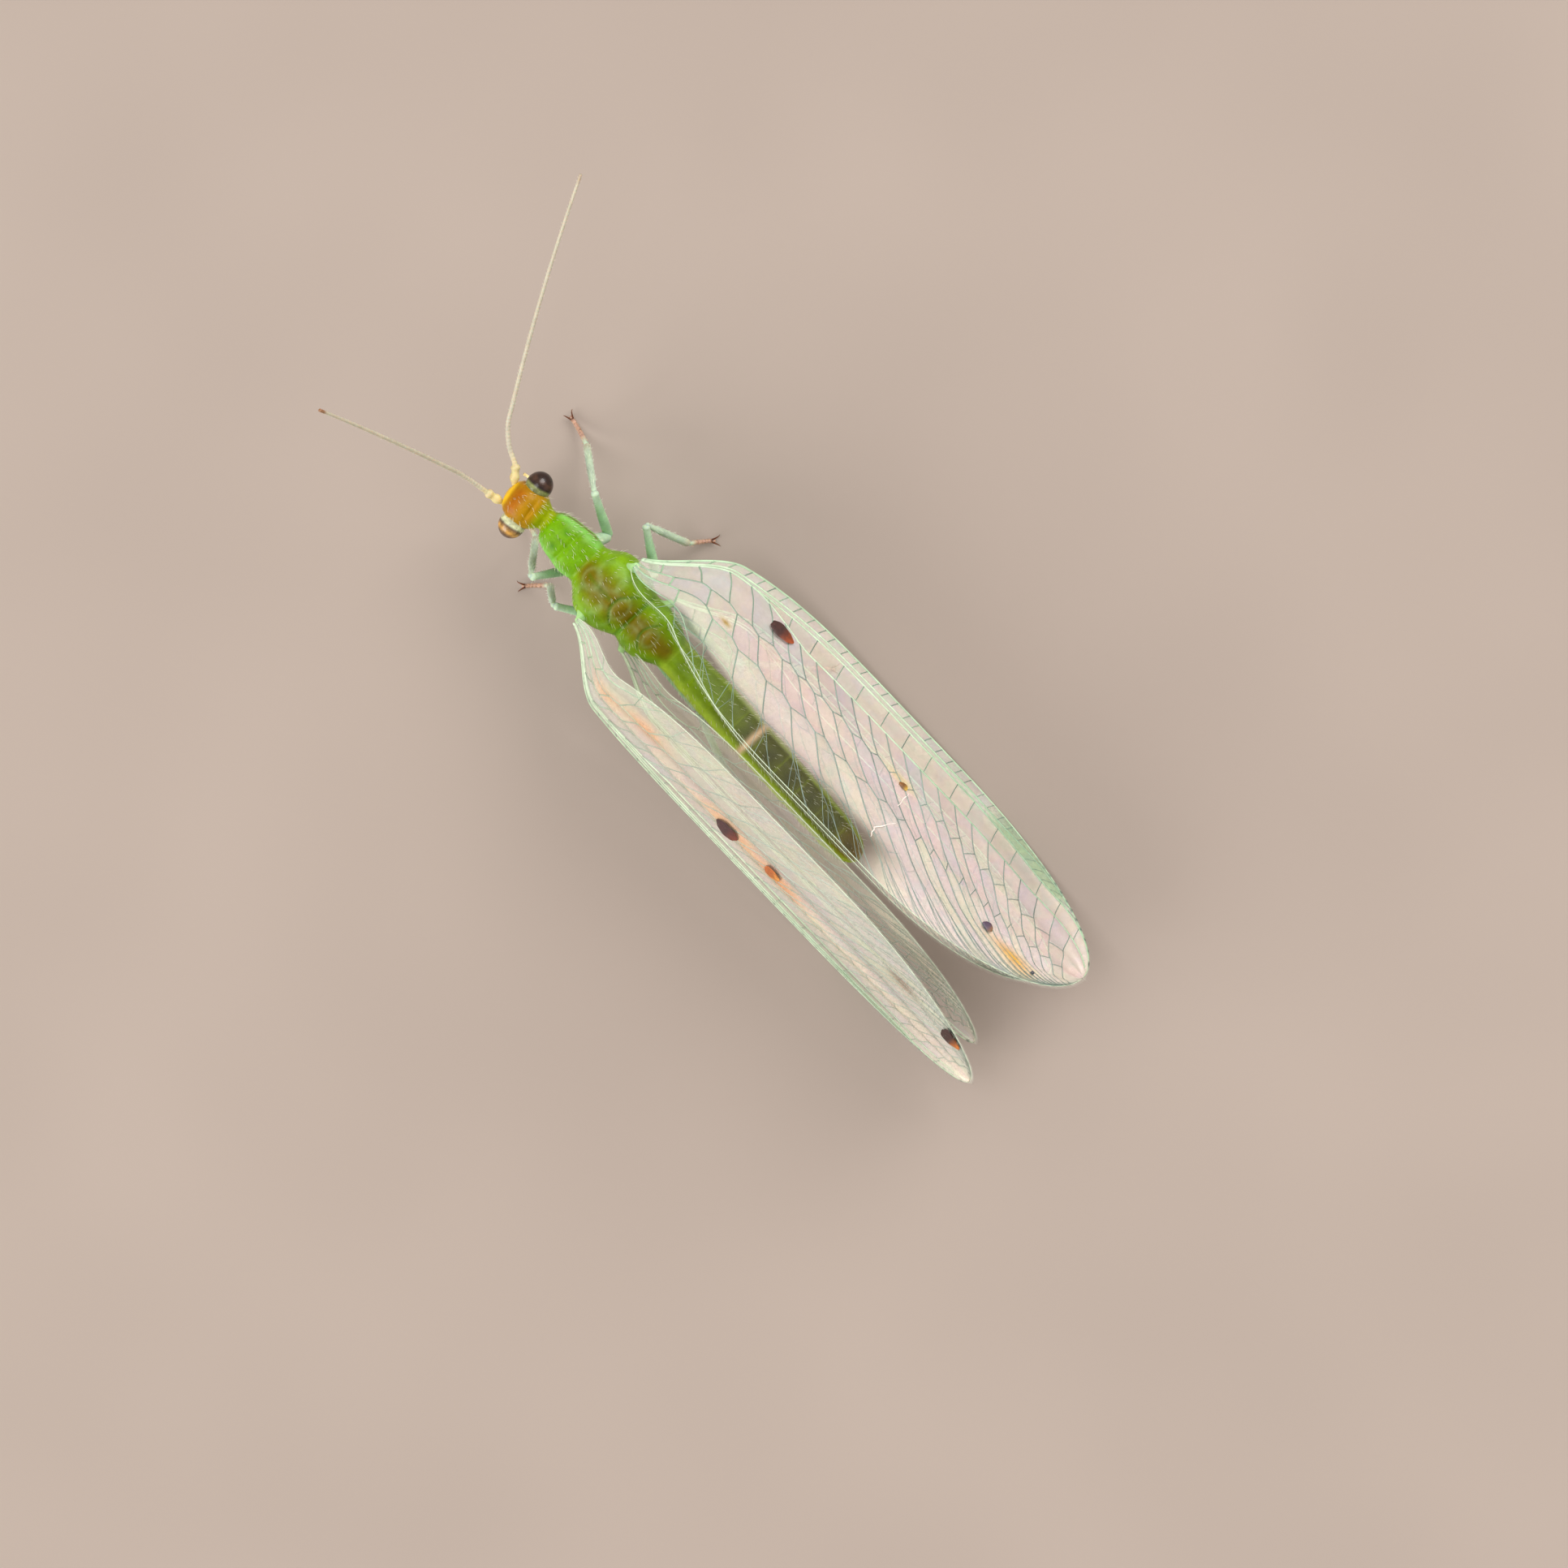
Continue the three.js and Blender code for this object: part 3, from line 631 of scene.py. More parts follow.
BODY_COLOURS = {
    "front": linear("DDB01E"),
    "face": linear("9A5A04"),
    "crown": linear("9C7400"),
    "nape": linear("869400"),
    "shield": linear("649400"),
    "shield_edge_and_highlight": linear("76B04C"),
    "shield_line": linear("5A2415"),
    "shield_spot": linear("3C7408"),
    "thorax_middle": linear("685C00"),
    "thorax_side": linear("6E9608"),
    "thorax_pale": linear("A6CE92"),
    "abdomen_front": linear("668200"),
    "abdomen_rear": linear("4A5000"),
    "abdomen_dark": linear("262E08"),
    "abdomen_tip": linear("74560C"),
    "abdomen_pale_and_painted_light": linear("A4C232"),
    "abdomen_band": linear("CDB08C"),
}


def body_tint(back, across, up, x):
    """The markings and painted light, ahead to behind: an orange head, a bright green shield with pale
    edges that also carry a painted highlight, a dark line on each side, an olive thorax with green sides,
    and an abdomen from bright green to olive brown, drawn paler on its left half as painted light."""
    c = BODY_COLOURS
    edge = np.abs(across)
    colour = np.broadcast_to(c["crown"], back.shape + (4,))
    colour = blend(colour, c["face"], hump(back, -0.16, 0.2) * (1 - 0.5 * smooth((edge - 0.5) / 0.3)))
    colour = blend(colour, c["front"], smooth((-0.3 - back) / 0.14))
    colour = blend(colour, c["nape"], smooth((back - 0.36) / 0.25))
    colour = blend(colour, c["shield"], smooth((back - 0.74) / 0.16))
    on_shield = smooth((back - 0.8) / 0.1) * (1 - smooth((back - 2.1) / 0.15))
    # The shield's pale edges, which also carry a painted highlight along its sides
    colour = blend(colour, c["shield_edge_and_highlight"], on_shield * smooth((edge - 0.62) / 0.3))
    spots = hump(back, 1.32, 0.12) * hump(np.abs(x), 0.26, 0.09)
    side_line = hump(up, 0.16, 0.1) * (1 - smooth((back - 1.9) / 0.1))
    colour = blend(colour, c["shield_spot"], 0.7 * on_shield * spots)
    colour = blend(colour, c["shield_line"], 0.9 * on_shield * side_line)
    on_thorax = smooth((back - 2.08) / 0.25)
    colour = blend(colour, c["thorax_side"], on_thorax)
    colour = blend(colour, c["thorax_middle"], on_thorax * (1 - smooth((edge - 0.1) / 0.7)))
    colour = blend(colour, c["thorax_pale"], on_thorax * 0.8 * smooth((-0.1 - up) / 0.5))
    for at_x, at_back, wide, long, _ in THORAX_LOBES:
        ring = hump(np.hypot((np.abs(x) - at_x) / wide, (back - at_back) / long), 1.25, 0.22)
        colour = blend(colour, c["thorax_pale"], 0.12 * ring * np.clip(up, 0, 1) * on_thorax)
    seam = sutures(x, back) * np.clip(up, 0, 1) ** 0.5
    colour = blend(colour, c["shield_spot"], 0.6 * seam * on_thorax)
    on_abdomen = smooth((back - 5.2) / 0.3)
    share = abdomen_share(back)
    rear = np.broadcast_to(c["abdomen_front"], colour.shape)
    rear = blend(rear, c["abdomen_rear"], smooth((share - 0.1) / 0.38))
    rear = blend(rear, c["abdomen_tip"], 0.8 * smooth((share - 0.84) / 0.14))
    in_segment = (share * ABDOMEN_SEGMENTS) % 1
    blotch = hump(in_segment, 0.5, 0.28) * smooth((share - 0.15) / 0.4) * hump(across, 0.25, 0.45)
    rear = blend(rear, c["abdomen_dark"], 0.6 * blotch)
    # Painted light: the left half of the abdomen is drawn paler, as its lit side
    rear = blend(rear, c["abdomen_pale_and_painted_light"], 0.85 * smooth((-across - 0.2) / 0.6))
    rear = blend(rear, c["abdomen_pale_and_painted_light"], 0.5 * smooth((across - 0.86) / 0.12))
    rear = blend(rear, c["abdomen_pale_and_painted_light"], 0.18 * hump(in_segment, 0.99, 0.06))
    rear = blend(rear, c["abdomen_band"], hump(back, PALE_BAND, 0.09))
    return blend(colour, rear, on_abdomen)


def wing_base_part(side, inner, outer):
    """A flattened cone with a rounded end that carries a wing's root: it narrows as an S curve."""
    s = np.linspace(0, 1, BASE_STEPS)
    base = rod(np.array(inner) * (side, 1, 1), np.array(outer) * (side, 1, 1), BASE_STEPS)
    thick = (0.42 - 0.32 * smooth(1.1 * s)) * rounded(s, 0.1)
    green = fade(BODY_COLOURS["thorax_side"], BODY_COLOURS["thorax_pale"], s)
    return tube_part(base, thick, sides=24, flat=0.75, tint=green)


def eye_socket_part(side):
    """A short blunt cone, from inside the head out to the cheek, on which an eye lies."""
    s = np.linspace(0, 1, BASE_STEPS)
    socket = EYE_MIDDLE * (side, 1, 1) + np.stack([side * (0.24 * s - 0.36), 0 * s, 0 * s], -1)
    orange = fade(BODY_COLOURS["crown"], BODY_COLOURS["front"], 0.6 * s)
    return tube_part(in_head(socket), 0.41 - 0.08 * s, sides=48, flat=1.05, tint=orange)


def add_body():
    """The skin as a grid: rows along the body, closer on the head, and columns round it. The wing bases
    and the eye sockets belong to it."""
    rows, columns = BODY_GRID
    t = np.linspace(0, 1, rows)
    back = BACK[0] + (BACK[-1] - BACK[0]) * (0.72 * t + 0.28 * t * t)
    turn = 2 * np.pi * np.arange(columns) / columns
    back, turn = np.meshgrid(back, turn, indexing="ij")
    points, across, up = body_surface(back, turn)
    tint = body_tint(back, across, up, across * curve(BACK, HALF_WIDTH, back))
    parts = [rings_part(points, tint)]
    parts += [wing_base_part(side, *ends) for side in SIDES.values() for ends in WING_BASES]
    parts += [eye_socket_part(side) for side in SIDES.values()]
    piece(
        "body_skin",
        parts,
        BODY_CUTICLE,
        ["head", "prothorax", "mesothorax", "metathorax", "abdomen"],
    )


add_body()


# Eyes: the dark pigment, a ring of painted glint in it and the rim of each. The left eye is the lit copy:
# lighter pigment, a golden painted glint and a paler rim.
EYE_LIT_AND_SHADED_COLOURS = {
    "right": (linear("1C0D0B"), linear("3F271A"), linear("6F7444")),
    # The left eye's colours are a lit copy: lighter pigment, painted golden glint and a paler rim
    "left": (linear("4A3A32"), linear("C08E3A"), linear("B9BC94")),
}
EYE_GRID = (40, 56)


def eye_part(side, dark, glow, rim):
    """An egg shape: rows from pole to pole along the axis sideways, columns round it. A ring half way out
    holds a painted glint, and its rim lies on the cheek."""
    rows, columns = EYE_GRID
    from_pole = np.linspace(0.02, np.pi - 0.02, rows)
    turn = 2 * np.pi * np.arange(columns) / columns
    from_pole, turn = np.meshgrid(from_pole, turn, indexing="ij")
    ring = np.sin(from_pole)
    shape = np.stack([np.cos(from_pole), ring * np.cos(turn), ring * np.sin(turn)], -1)
    out = shape[..., 0] * side
    # Painted glint: a ring half way out, golden on the left eye
    tint = blend(np.broadcast_to(dark, out.shape + (4,)), glow, 0.8 * hump(out, 0.45, 0.22))
    tint = blend(tint, rim, 1 - smooth((out + 0.02) / 0.1))
    return rings_part(in_head(EYE_MIDDLE * (side, 1, 1) + shape * EYE_RADII), tint)


def add_eyes():
    """Half balls on the cheeks: dark brown on the right, the lit copy with a painted gold glint on the
    left, each with an olive rim.
    """
    for name, side in SIDES.items():
        part = eye_part(side, *EYE_LIT_AND_SHADED_COLOURS[name])
        piece("eye_ball_" + name, [part], CORNEA, ["eye_" + name])


add_eyes()

# Mouthparts under the face, in the head's own frame: an upper lip, two jaws and two pairs of jointed palps
MOUTH_TOP = -0.5
# Palps: how far out and down they hang, how far ahead they reach, and their thickness
PALPS = [
    {"reach": 0.34, "drop": 0.62, "ahead": 0.62, "radius": 0.06},
    {"reach": 0.16, "drop": 0.55, "ahead": 0.42, "radius": 0.05},
]
PALP_JOINTS = [0.2, 0.42, 0.64, 0.82]
MOUTH_STEPS = 60
CREAM = linear("E6DFA8")
MOUTH_BROWN = linear("A8742E")


def segmented(share, joints, dip=0.22, width=0.06):
    """The thickness of a jointed rod at shares of its length: drawn in at each joint."""
    return 1 - dip * np.exp(-(((share[..., None] - np.array(joints)) / width) ** 2)).max(-1)


def lip_part(t):
    """The upper lip: a flattened tube that hangs down and back, and narrows with its length cubed."""
    path = np.stack([0 * t, -0.3 + 0.12 * t, MOUTH_TOP - 0.62 * t], -1)
    thick = 0.3 * np.sqrt(1 - 0.8 * t**3)
    tint = fade(CREAM, MOUTH_BROWN, 0.5 * t)
    return tube_part(in_head(path), thick, sides=24, reference=(0, 1, 0), flat=0.72, tint=tint)


def jaw_part(side, t):
    """A jaw: a tube that curves in to its tip, and narrows, with the square of its length."""
    path = np.stack([side * (0.26 - 0.24 * t**2), -0.2 + 0.02 * t, MOUTH_TOP - 0.25 - 0.5 * t], -1)
    thick = 0.11 * (1 - 0.75 * t**2)
    return tube_part(in_head(path), thick, sides=12, reference=(0, 1, 0), tint=fade(CREAM, MOUTH_BROWN, t))


def palp_part(side, palp, t):
    """A jointed palp: it swings out as an S curve, reaches ahead, and drops as a sine."""
    out = side * (0.12 + (palp["reach"] - 0.12) * smooth(1.2 * t))
    ahead = -0.15 - (palp["ahead"] - 0.15) * t**1.3
    down = MOUTH_TOP - 0.45 - (palp["drop"] - 0.25) * np.sin(2 * t)
    thick = palp["radius"] * segmented(t, PALP_JOINTS) * (1 - 0.35 * t)
    path = in_head(np.stack([out, ahead, down], -1))
    return tube_part(path, thick, sides=12, reference=(1, 0, 0), tint=fade(CREAM, MOUTH_BROWN, 0.5 * t**3))


def add_mouth():
    """The lip, then the jaw and the palps of each side, on a common run of shares of their lengths."""
    t = np.linspace(0, 1, MOUTH_STEPS)
    parts = [lip_part(t)]
    for side in SIDES.values():
        parts.append(jaw_part(side, t))
        parts += [palp_part(side, palp, t) for palp in PALPS]
    piece("mouth_skin", parts, LEG_CUTICLE, ["mouthparts"])


add_mouth()

# Feelers: heading towards the left, rise and bend of each, and the share of both turns at its foot
FEELERS = {"left": (-0.16, 1.08, 0.12, 0.5), "right": (-1.26, 0.16, -0.12, 0.85)}
FEELER_STEPS = 14
FEELER_RINGS = 86
FEELER_RADII = (0.064, 0.04)
FEELER_FOOT = 0.38
FEELER_REFERENCE = (0.2, 0.1, 1)
FEELER_COLOURS = {
    "cream": linear("B4AD98"),
    "yellow": linear("C8B880"),
    "tip_brown": linear("8A5A34"),
    "hair": linear("EFE6D0"),
}


def way(heading, rise):
    """The direction with that heading towards the left and that rise, as (sideways, behind, up)."""
    level = np.cos(rise)
    return np.stack([-np.sin(heading) * level, -np.cos(heading) * level, np.sin(rise) + 0 * heading], -1)


def feeler_path(name):
    """The solids' curve from the face on, a little straighter: equal steps whose heading and rise settle
    over the first sixth."""
    heading, rise, bend, first = FEELERS[name]
    foot = SOCKET * (SIDES[name], 1, 1)
    out = way(np.array(first * heading), first * rise)
    t = np.arange(FEELER_STEPS) / (FEELER_STEPS - 1)
    settle = 0.6 + 0.4 * smooth(6 * t)
    steps = way(heading * settle + bend * (t - 0.5), rise * settle) * ANTENNA_LENGTH / FEELER_STEPS
    start = foot + FEELER_FOOT * out
    knots = np.concatenate([[foot - 0.06 * out, foot + 0.1 * out, start], start + np.cumsum(steps, 0)])
    length = np.concatenate([[0], np.cumsum(np.linalg.norm(np.diff(knots, axis=0), axis=1))])
    at = np.linspace(0, length[-1], 4 * FEELER_RINGS + 1)
    return in_head(np.stack([curve(length, knots[:, k], at) for k in range(3)], -1)), at


def feeler_hairs(path, thick):
    """Four short hairs round each ring from the third joint on, at random turns, leaning to the tip."""
    root = np.repeat(np.arange(40, len(path) - 2, 4), 4)
    along = unit(np.gradient(path, axis=0))[root]
    turn = rng.uniform(0, 2 * np.pi, len(root))[:, None]
    across = unit(np.cross(along, FEELER_REFERENCE))
    out = np.cos(turn) * across + np.sin(turn) * np.cross(across, along)
    feet = path[root] + out * thick[root, None] * 0.9
    lengths = rng.uniform(0.035, 0.06, len(root))
    return hairs_part(feet, out + 0.9 * along, lengths, FINE_HAIR_RADIUS, tint=FEELER_COLOURS["hair"])


def add_feelers():
    """A stout first joint, a short second one, then a long bristle of fine rings: its thickness tapers and
    has a cosine of one wave to a ring. The left feeler has the browner tip."""
    c = FEELER_COLOURS
    for name, side in SIDES.items():
        path, at = feeler_path(name)
        s = at / at[-1]
        joints = np.where(at < 0.6, 0.125 * hump(at, 0.2, 0.2) + 0.1 * hump(at, 0.47, 0.1), 0)
        taper = FEELER_RADII[0] * (1 - s) + FEELER_RADII[1] * s
        thick = np.maximum(joints, taper * (1 + 0.09 * np.cos(2 * np.pi * s * FEELER_RINGS)))
        tint = fade(c["cream"], c["yellow"], 1 - smooth((at - 0.3) / 0.7))
        tint = blend(tint, c["tip_brown"], (0.6 - 0.3 * side) * smooth((s - 0.965) / 0.02))
        skin = tube_part(path, thick, sides=14, reference=FEELER_REFERENCE, tint=tint)
        hairs = feeler_hairs(path, thick)
        piece("feeler_" + name, [skin, hairs], FEELER_CUTICLE, ["antenna_" + name])


add_feelers()

# Legs: top and foot of each pair's hip joint, then knee, ankle and claw of each leg, as in the solids
HIPS = {
    "foreleg": [(0.38, 1.9, 1.98), (0.62, 2.05, 1.25)],
    "midleg": [(0.56, 3.45, 1.8), (0.84, 3.56, 1.2)],
    "hindleg": [(0.42, 4.7, 1.85), (0.6, 4.95, 1.2)],
}
LEGS = {
    ("foreleg", "left"): [(1.27, 1.5, 2.7), (0.98, 0.78, 0.42), (0.85, 0, 0)],
    ("foreleg", "right"): [(1.41, 1.02, 2.55), (1.64, -0.05, 0.45), (1.74, -0.8, 0)],
    ("midleg", "left"): [(1.46, 2.41, 2.15), (1.55, 1.92, 0.45), (2.12, 1.48, 0)],
    ("midleg", "right"): [(1.7, 2.5, 2.05), (1.85, 3.55, 0.5), (2.26, 3.9, 0)],
    ("hindleg", "left"): [(0.86, 6.8, 0.82), (1.55, 8.6, 0.3), (1.85, 9.4, 0)],
    ("hindleg", "right"): [(0.66, 6.5, 0.86), (1.84, 7.9, 0.32), (2.28, 8.35, 0)],
}
LEG_RADII = {"coxa": 0.17, "femur": 0.12, "tibia": 0.082, "tarsus": 0.06}
PAD_RADIUS = 0.05
CLAW_RADIUS = 0.026
SPUR_RADIUS = 0.016
LEG_GREEN = linear("98BF94")
LEG_PALE = linear("AABEA6")
FOOT_PINK = linear("B08C78")
CLAW_BROWN = linear("5B3320")
FOOT_HEIGHT = 0.1
FOOT_JOINTS = [0.3, 0.48, 0.63, 0.77]
LEG_STEPS = 90
CLAW_STEPS = 14
LEG_REFERENCE = (0, 1, 0.1)
# Hairs of a leg: how far from its middle line they grow, their spacing, length and colour
LEG_HAIRS = {
    "femur": (0.1, 0.023, 0.12, linear("DDE6D2")),
    "tibia": (0.08, 0.017, 0.12, linear("DDE6D2")),
    "tarsus": (0.05, 0.012, 0.08, linear("A98A72")),
}


def leg_hairs(path, thick, spacing, length, tint):
    """Hairs that lean towards the foot, round a part of a leg."""
    total = np.linalg.norm(np.diff(path, axis=0), axis=1).sum()
    count = int(total / spacing)
    at = rng.uniform(0.06, 0.94, count) * (len(path) - 1)
    k = at.astype(int)
    base = path[k] + (path[k + 1] - path[k]) * (at - k)[:, None]
    along = unit(path[k + 1] - path[k])
    out = unit(np.cross(along, rng.normal(size=(count, 3))))
    lengths = length * rng.uniform(0.7, 1.2, count)
    return hairs_part(base + out * thick * 0.85, out + 1.1 * along, lengths, HAIR_RADIUS, tint=tint)


def foot_parts(ankle, tip):
    """Two spurs at the ankle, a pad under the tip and two claws on it. A claw reaches ahead and rises as a
    sine, spreads evenly and drops with the square of its length."""
    ahead = unit((tip - ankle) * (1, 1, 0))
    aside = np.array([-ahead[1], ahead[0], 0])
    t = np.linspace(0, 1, CLAW_STEPS)
    column = t[:, None]
    pad = rod(tip, tip + 0.09 * ahead - (0, 0, 0.03), CLAW_STEPS)
    parts = [tube_part(pad, PAD_RADIUS * rounded(t, 0.4), sides=10, flat=0.7, tint=FOOT_PINK)]
    for side in (-1, 1):
        hook = tip + ahead * 0.2 * np.sin(1.5 * column) + aside * side * (0.03 + 0.12 * column)
        hook = hook + (0, 0, 1) * (0.035 * np.sin(2.2 * column) - 0.075 * column**2)
        parts.append(tube_part(hook, CLAW_RADIUS * (1 - 0.85 * t), sides=8, tint=CLAW_BROWN))
        spur = rod(ankle, ankle + 0.16 * unit(ahead + 0.8 * side * aside) - (0, 0, 0.03), CLAW_STEPS)
        parts.append(tube_part(spur, SPUR_RADIUS * (1 - 0.85 * t), sides=6, tint=FOOT_PINK))
    return parts


def leg_paths(pair, side_name):
    """The middle lines of the coxa, the femur, the tibia and the foot. The femur and the tibia bow upwards
    as half a sine, and the foot is a quadratic curve that runs level to its tip."""
    side = (SIDES[side_name], 1, 1)
    top, hip, knee, ankle, claw = (np.array(k) * side for k in HIPS[pair] + LEGS[pair, side_name])
    tip = claw + (0, 0, FOOT_HEIGHT)
    heel = (ankle * 0.4 + claw * 0.6) * (1, 1, 0) + (0, 0, FOOT_HEIGHT)
    column = np.linspace(0, 1, LEG_STEPS)[:, None]
    foot = (1 - column) ** 2 * ankle + 2 * column * (1 - column) * heel + column**2 * tip
    femur, tibia = rod(hip, knee, LEG_STEPS, bow=0.04), rod(knee, ankle, LEG_STEPS, bow=0.03)
    return rod(top, hip, LEG_STEPS), femur, tibia, foot


def leg_skins(coxa, femur, tibia, foot):
    """A stout coxa, a femur thickest before its middle and again at the knee, a slim tibia that widens at
    the ankle, and a tarsus drawn in between its five short joints."""
    t = np.linspace(0, 1, LEG_STEPS)
    thick = LEG_RADII["coxa"] * rounded(t, 0.2) * (1.1 - 0.25 * t)
    green = fade(LEG_GREEN, LEG_PALE, 0.6 + 0 * t)
    parts = [tube_part(coxa, thick, sides=16, reference=LEG_REFERENCE, tint=green)]
    thick = 1.05 - 0.3 * t + 0.12 * hump(t, 0.35, 0.25) + 0.14 * hump(t, 0.97, 0.05)
    thick = LEG_RADII["femur"] * rounded(t) * thick
    green = fade(LEG_GREEN, LEG_PALE, hump(t, 1, 0.3))
    parts.append(tube_part(femur, thick, sides=16, reference=LEG_REFERENCE, tint=green))
    thick = 1.15 - 0.35 * hump(t, 0.12, 0.12) + 0.12 * hump(t, 1, 0.1)
    thick = LEG_RADII["tibia"] * rounded(t) * thick
    pale = fade(LEG_PALE, FOOT_PINK, 0.5 * smooth(4 * t - 3))
    parts.append(tube_part(tibia, thick, sides=14, reference=LEG_REFERENCE, tint=pale))
    thick = LEG_RADII["tarsus"] * rounded(t, 0.03) * (1.1 - 0.3 * t)
    thick = thick * segmented(t, FOOT_JOINTS, dip=0.3, width=0.02)
    pink = fade(LEG_PALE, FOOT_PINK, smooth(t / 0.3))
    pink = blend(pink, CLAW_BROWN, 0.7 * smooth((t - 0.85) / 0.15))
    parts.append(tube_part(foot, thick, sides=12, tint=pink))
    return parts


def add_legs():
    """The skin of each leg, raised to the floor where it would sink in, and the hairs on it."""
    for pair, side_name in LEGS:
        coxa, femur, tibia, foot = leg_paths(pair, side_name)
        parts = leg_skins(coxa, femur, tibia, foot) + foot_parts(foot[0], foot[-1])
        parts = [(over_floor(points), faces, tint) for points, faces, tint in parts]
        name = f"{pair}_{side_name}"
        covered = [f"{name}_{length}" for length in LEG_HAIRS]
        piece("leg_" + name, parts, LEG_CUTICLE, covered)
        hairs = [leg_hairs(path, *LEG_HAIRS[k]) for k, path in zip(LEG_HAIRS, (femur, tibia, foot))]
        piece("hairs_" + name, hairs, HAIR)


add_legs()

# Wings: a place on one is its share t of the length and its share f of the way to the hind margin. Each has
# the place of its root, its depth under the roof and how far its root draws in. Its plan holds distances
# down from the ridge, and the shares of the length where the base ends and the tip starts.
WINGS = {
    "forewing": {
        "root": FOREWING_ROOT,
        "length": 15.3,
        "depth": -0.05,
        "pinch": 0.85,
        "plan": {
            "root": 2.75,
            "tip": 2.9,
            "top": 0,
            "foot": FOREWING_CHORD,
            "base_end": 0.42,
            "tip_start": 0.62,
        },
        "alpha": 0.25,
        "clear_from": 0.755,
        "grid": (400, 90),
    },
    "hindwing": {
        "root": HINDWING_ROOT,
        "length": 13.4,
        "depth": 0.78,
        "pinch": 0.5,
        "plan": {"root": 3.1, "tip": 3.0, "top": 0.6, "foot": 4.6, "base_end": 0.4, "tip_start": 0.66},
        "alpha": 0.13,
        "clear_from": 0.68,
        "grid": (280, 64),
    },
}
ROOT_HALF_CHORD = 0.3
PINCH_LENGTH = 1.9
TIP_END = 0.9995
WING_OVER_FLOOR = 0.012
PLEAT = 0.025
PLEATS = 5
WING_SEED = 11
SLOPE_GAIN = (ROOF_SLOPE_FOOT - ROOF_SLOPE_TOP) / FOREWING_CHORD


def roof(wing, side, back, down, lift=0.0):
    """The solids' roof: an arc whose slope grows evenly from the ridge down. It draws in at the root, and
    its ridge falls towards the tip."""
    slope = ROOF_SLOPE_TOP + SLOPE_GAIN * down
    out = (np.sin(slope) - math.sin(ROOF_SLOPE_TOP)) / SLOPE_GAIN
    drop = (math.cos(ROOF_SLOPE_TOP) - np.cos(slope)) / SLOPE_GAIN
    draw = wing["pinch"] * (1 - smooth((back - wing["root"]) / PINCH_LENGTH))
    depth = wing["depth"] - lift
    ridge = RIDGE_HEIGHT - RIDGE_FALL * (back - FOREWING_ROOT)
    x = RIDGE_HALF_GAP + out - draw - depth * np.sin(slope)
    z = np.maximum(WING_OVER_FLOOR, ridge - drop - depth * np.cos(slope))
    return np.stack(np.broadcast_arrays(side * x, back, z), -1)


def outline(plan, t):
    """Distances down from the ridge of the costal edge and the hind margin, as in the solids: each leaves
    the root as a cubic curve, runs level, and rounds the tip as a quarter of an ellipse."""
    over = np.clip((t - plan["tip_start"]) / (1 - plan["tip_start"]), 0, TIP_END)
    rounding = np.sqrt(1 - over**2)
    base = np.clip(1 - t / plan["base_end"], 0, 1) ** 3
    foot, top, root, tip = plan["foot"], plan["top"], plan["root"], plan["tip"]
    beyond = t > plan["tip_start"]
    costa = np.where(beyond, tip + (foot - tip) * rounding, foot - (foot - root - ROOT_HALF_CHORD) * base)
    hind = np.where(beyond, tip - (tip - top) * rounding, top + (root - ROOT_HALF_CHORD - top) * base)
    return costa, hind


def on_wing(wing, side, t, f, lift=0.0):
    """The place of (t, f) on a wing, lifted outwards. The film is pleated by a low sine across the wing,
    which fades out at the root."""
    t, f = np.broadcast_arrays(np.asarray(t, float), np.asarray(f, float))
    costa, hind = outline(wing["plan"], t)
    back = wing["root"] + wing["length"] * t
    pleat = PLEAT * np.sin(2 * np.pi * PLEATS * f) * np.clip(4 * t, 0, 1)
    return roof(wing, side, back, costa + (hind - costa) * f, lift + pleat)


# Venation: long veins near the costal edge, and branches that leave the sector for the hind margin
VENATION = {
    "forewing": {"branches": 23, "span": (0.03, 0.935), "levels": (0.43, 0.62), "costal": 30, "radial": 15},
    "hindwing": {"branches": 19, "span": (0.04, 0.925), "levels": (0.48, 0.69), "costal": 25, "radial": 13},
}
# Where the sector parts from the vein before it, and how far ahead of their starts the branches end: the
# power of the rest of the length, at the root and what it gains towards the tip
SECTOR_START = 0.15
MARGIN_POWERS = (2.2, 2.0)
# Where the cross-veins of the two strips along the costal edge lie, as shares of the length, and the short
# veins that end in the tip's costal edge
COSTAL_SPAN = (0.03, 0.76)
RADIAL_SPAN = (0.19, 0.94)
TIP_SPAN = (0.79, 0.962)
TIP_VEINS = 9
# Branches that start beyond this share fork twice
SECOND_FORK_FROM = 0.28
# Step between places of a vein, in shares of the wing's width, of which its length has three
VEIN_STEP = 0.022
LENGTH_IN_WIDTHS = 3
VEIN_END = 0.9985
LONG_VEIN_STEPS = 260
CELLS_PER_ROW = 64


def subcosta(t):
    """The f of the second long vein, which meets the costal edge before the tip."""
    return 0.075 + 0.025 * hump(t, 0.15, 0.13) - 0.065 * smooth((t - 0.7) / 0.2)


def radius(t):
    """The f of the third long vein, which runs close under the second one and ends on the tip."""
    return 0.108 + 0.025 * hump(t, 0.15, 0.13) - 0.095 * smooth((t - 0.82) / 0.16)


def sector(t):
    """The f of the fourth long vein, which parts from the third one and bears the branches."""
    return radius(t) + 0.15 * smooth((t - SECTOR_START) / 0.16)


def margin_end(start):
    """The t where the branch from start meets the hind margin: the rest of the length, raised to a power,
    is what is left beyond it."""
    return 1 - (1 - start) ** (MARGIN_POWERS[0] + MARGIN_POWERS[1] * start)


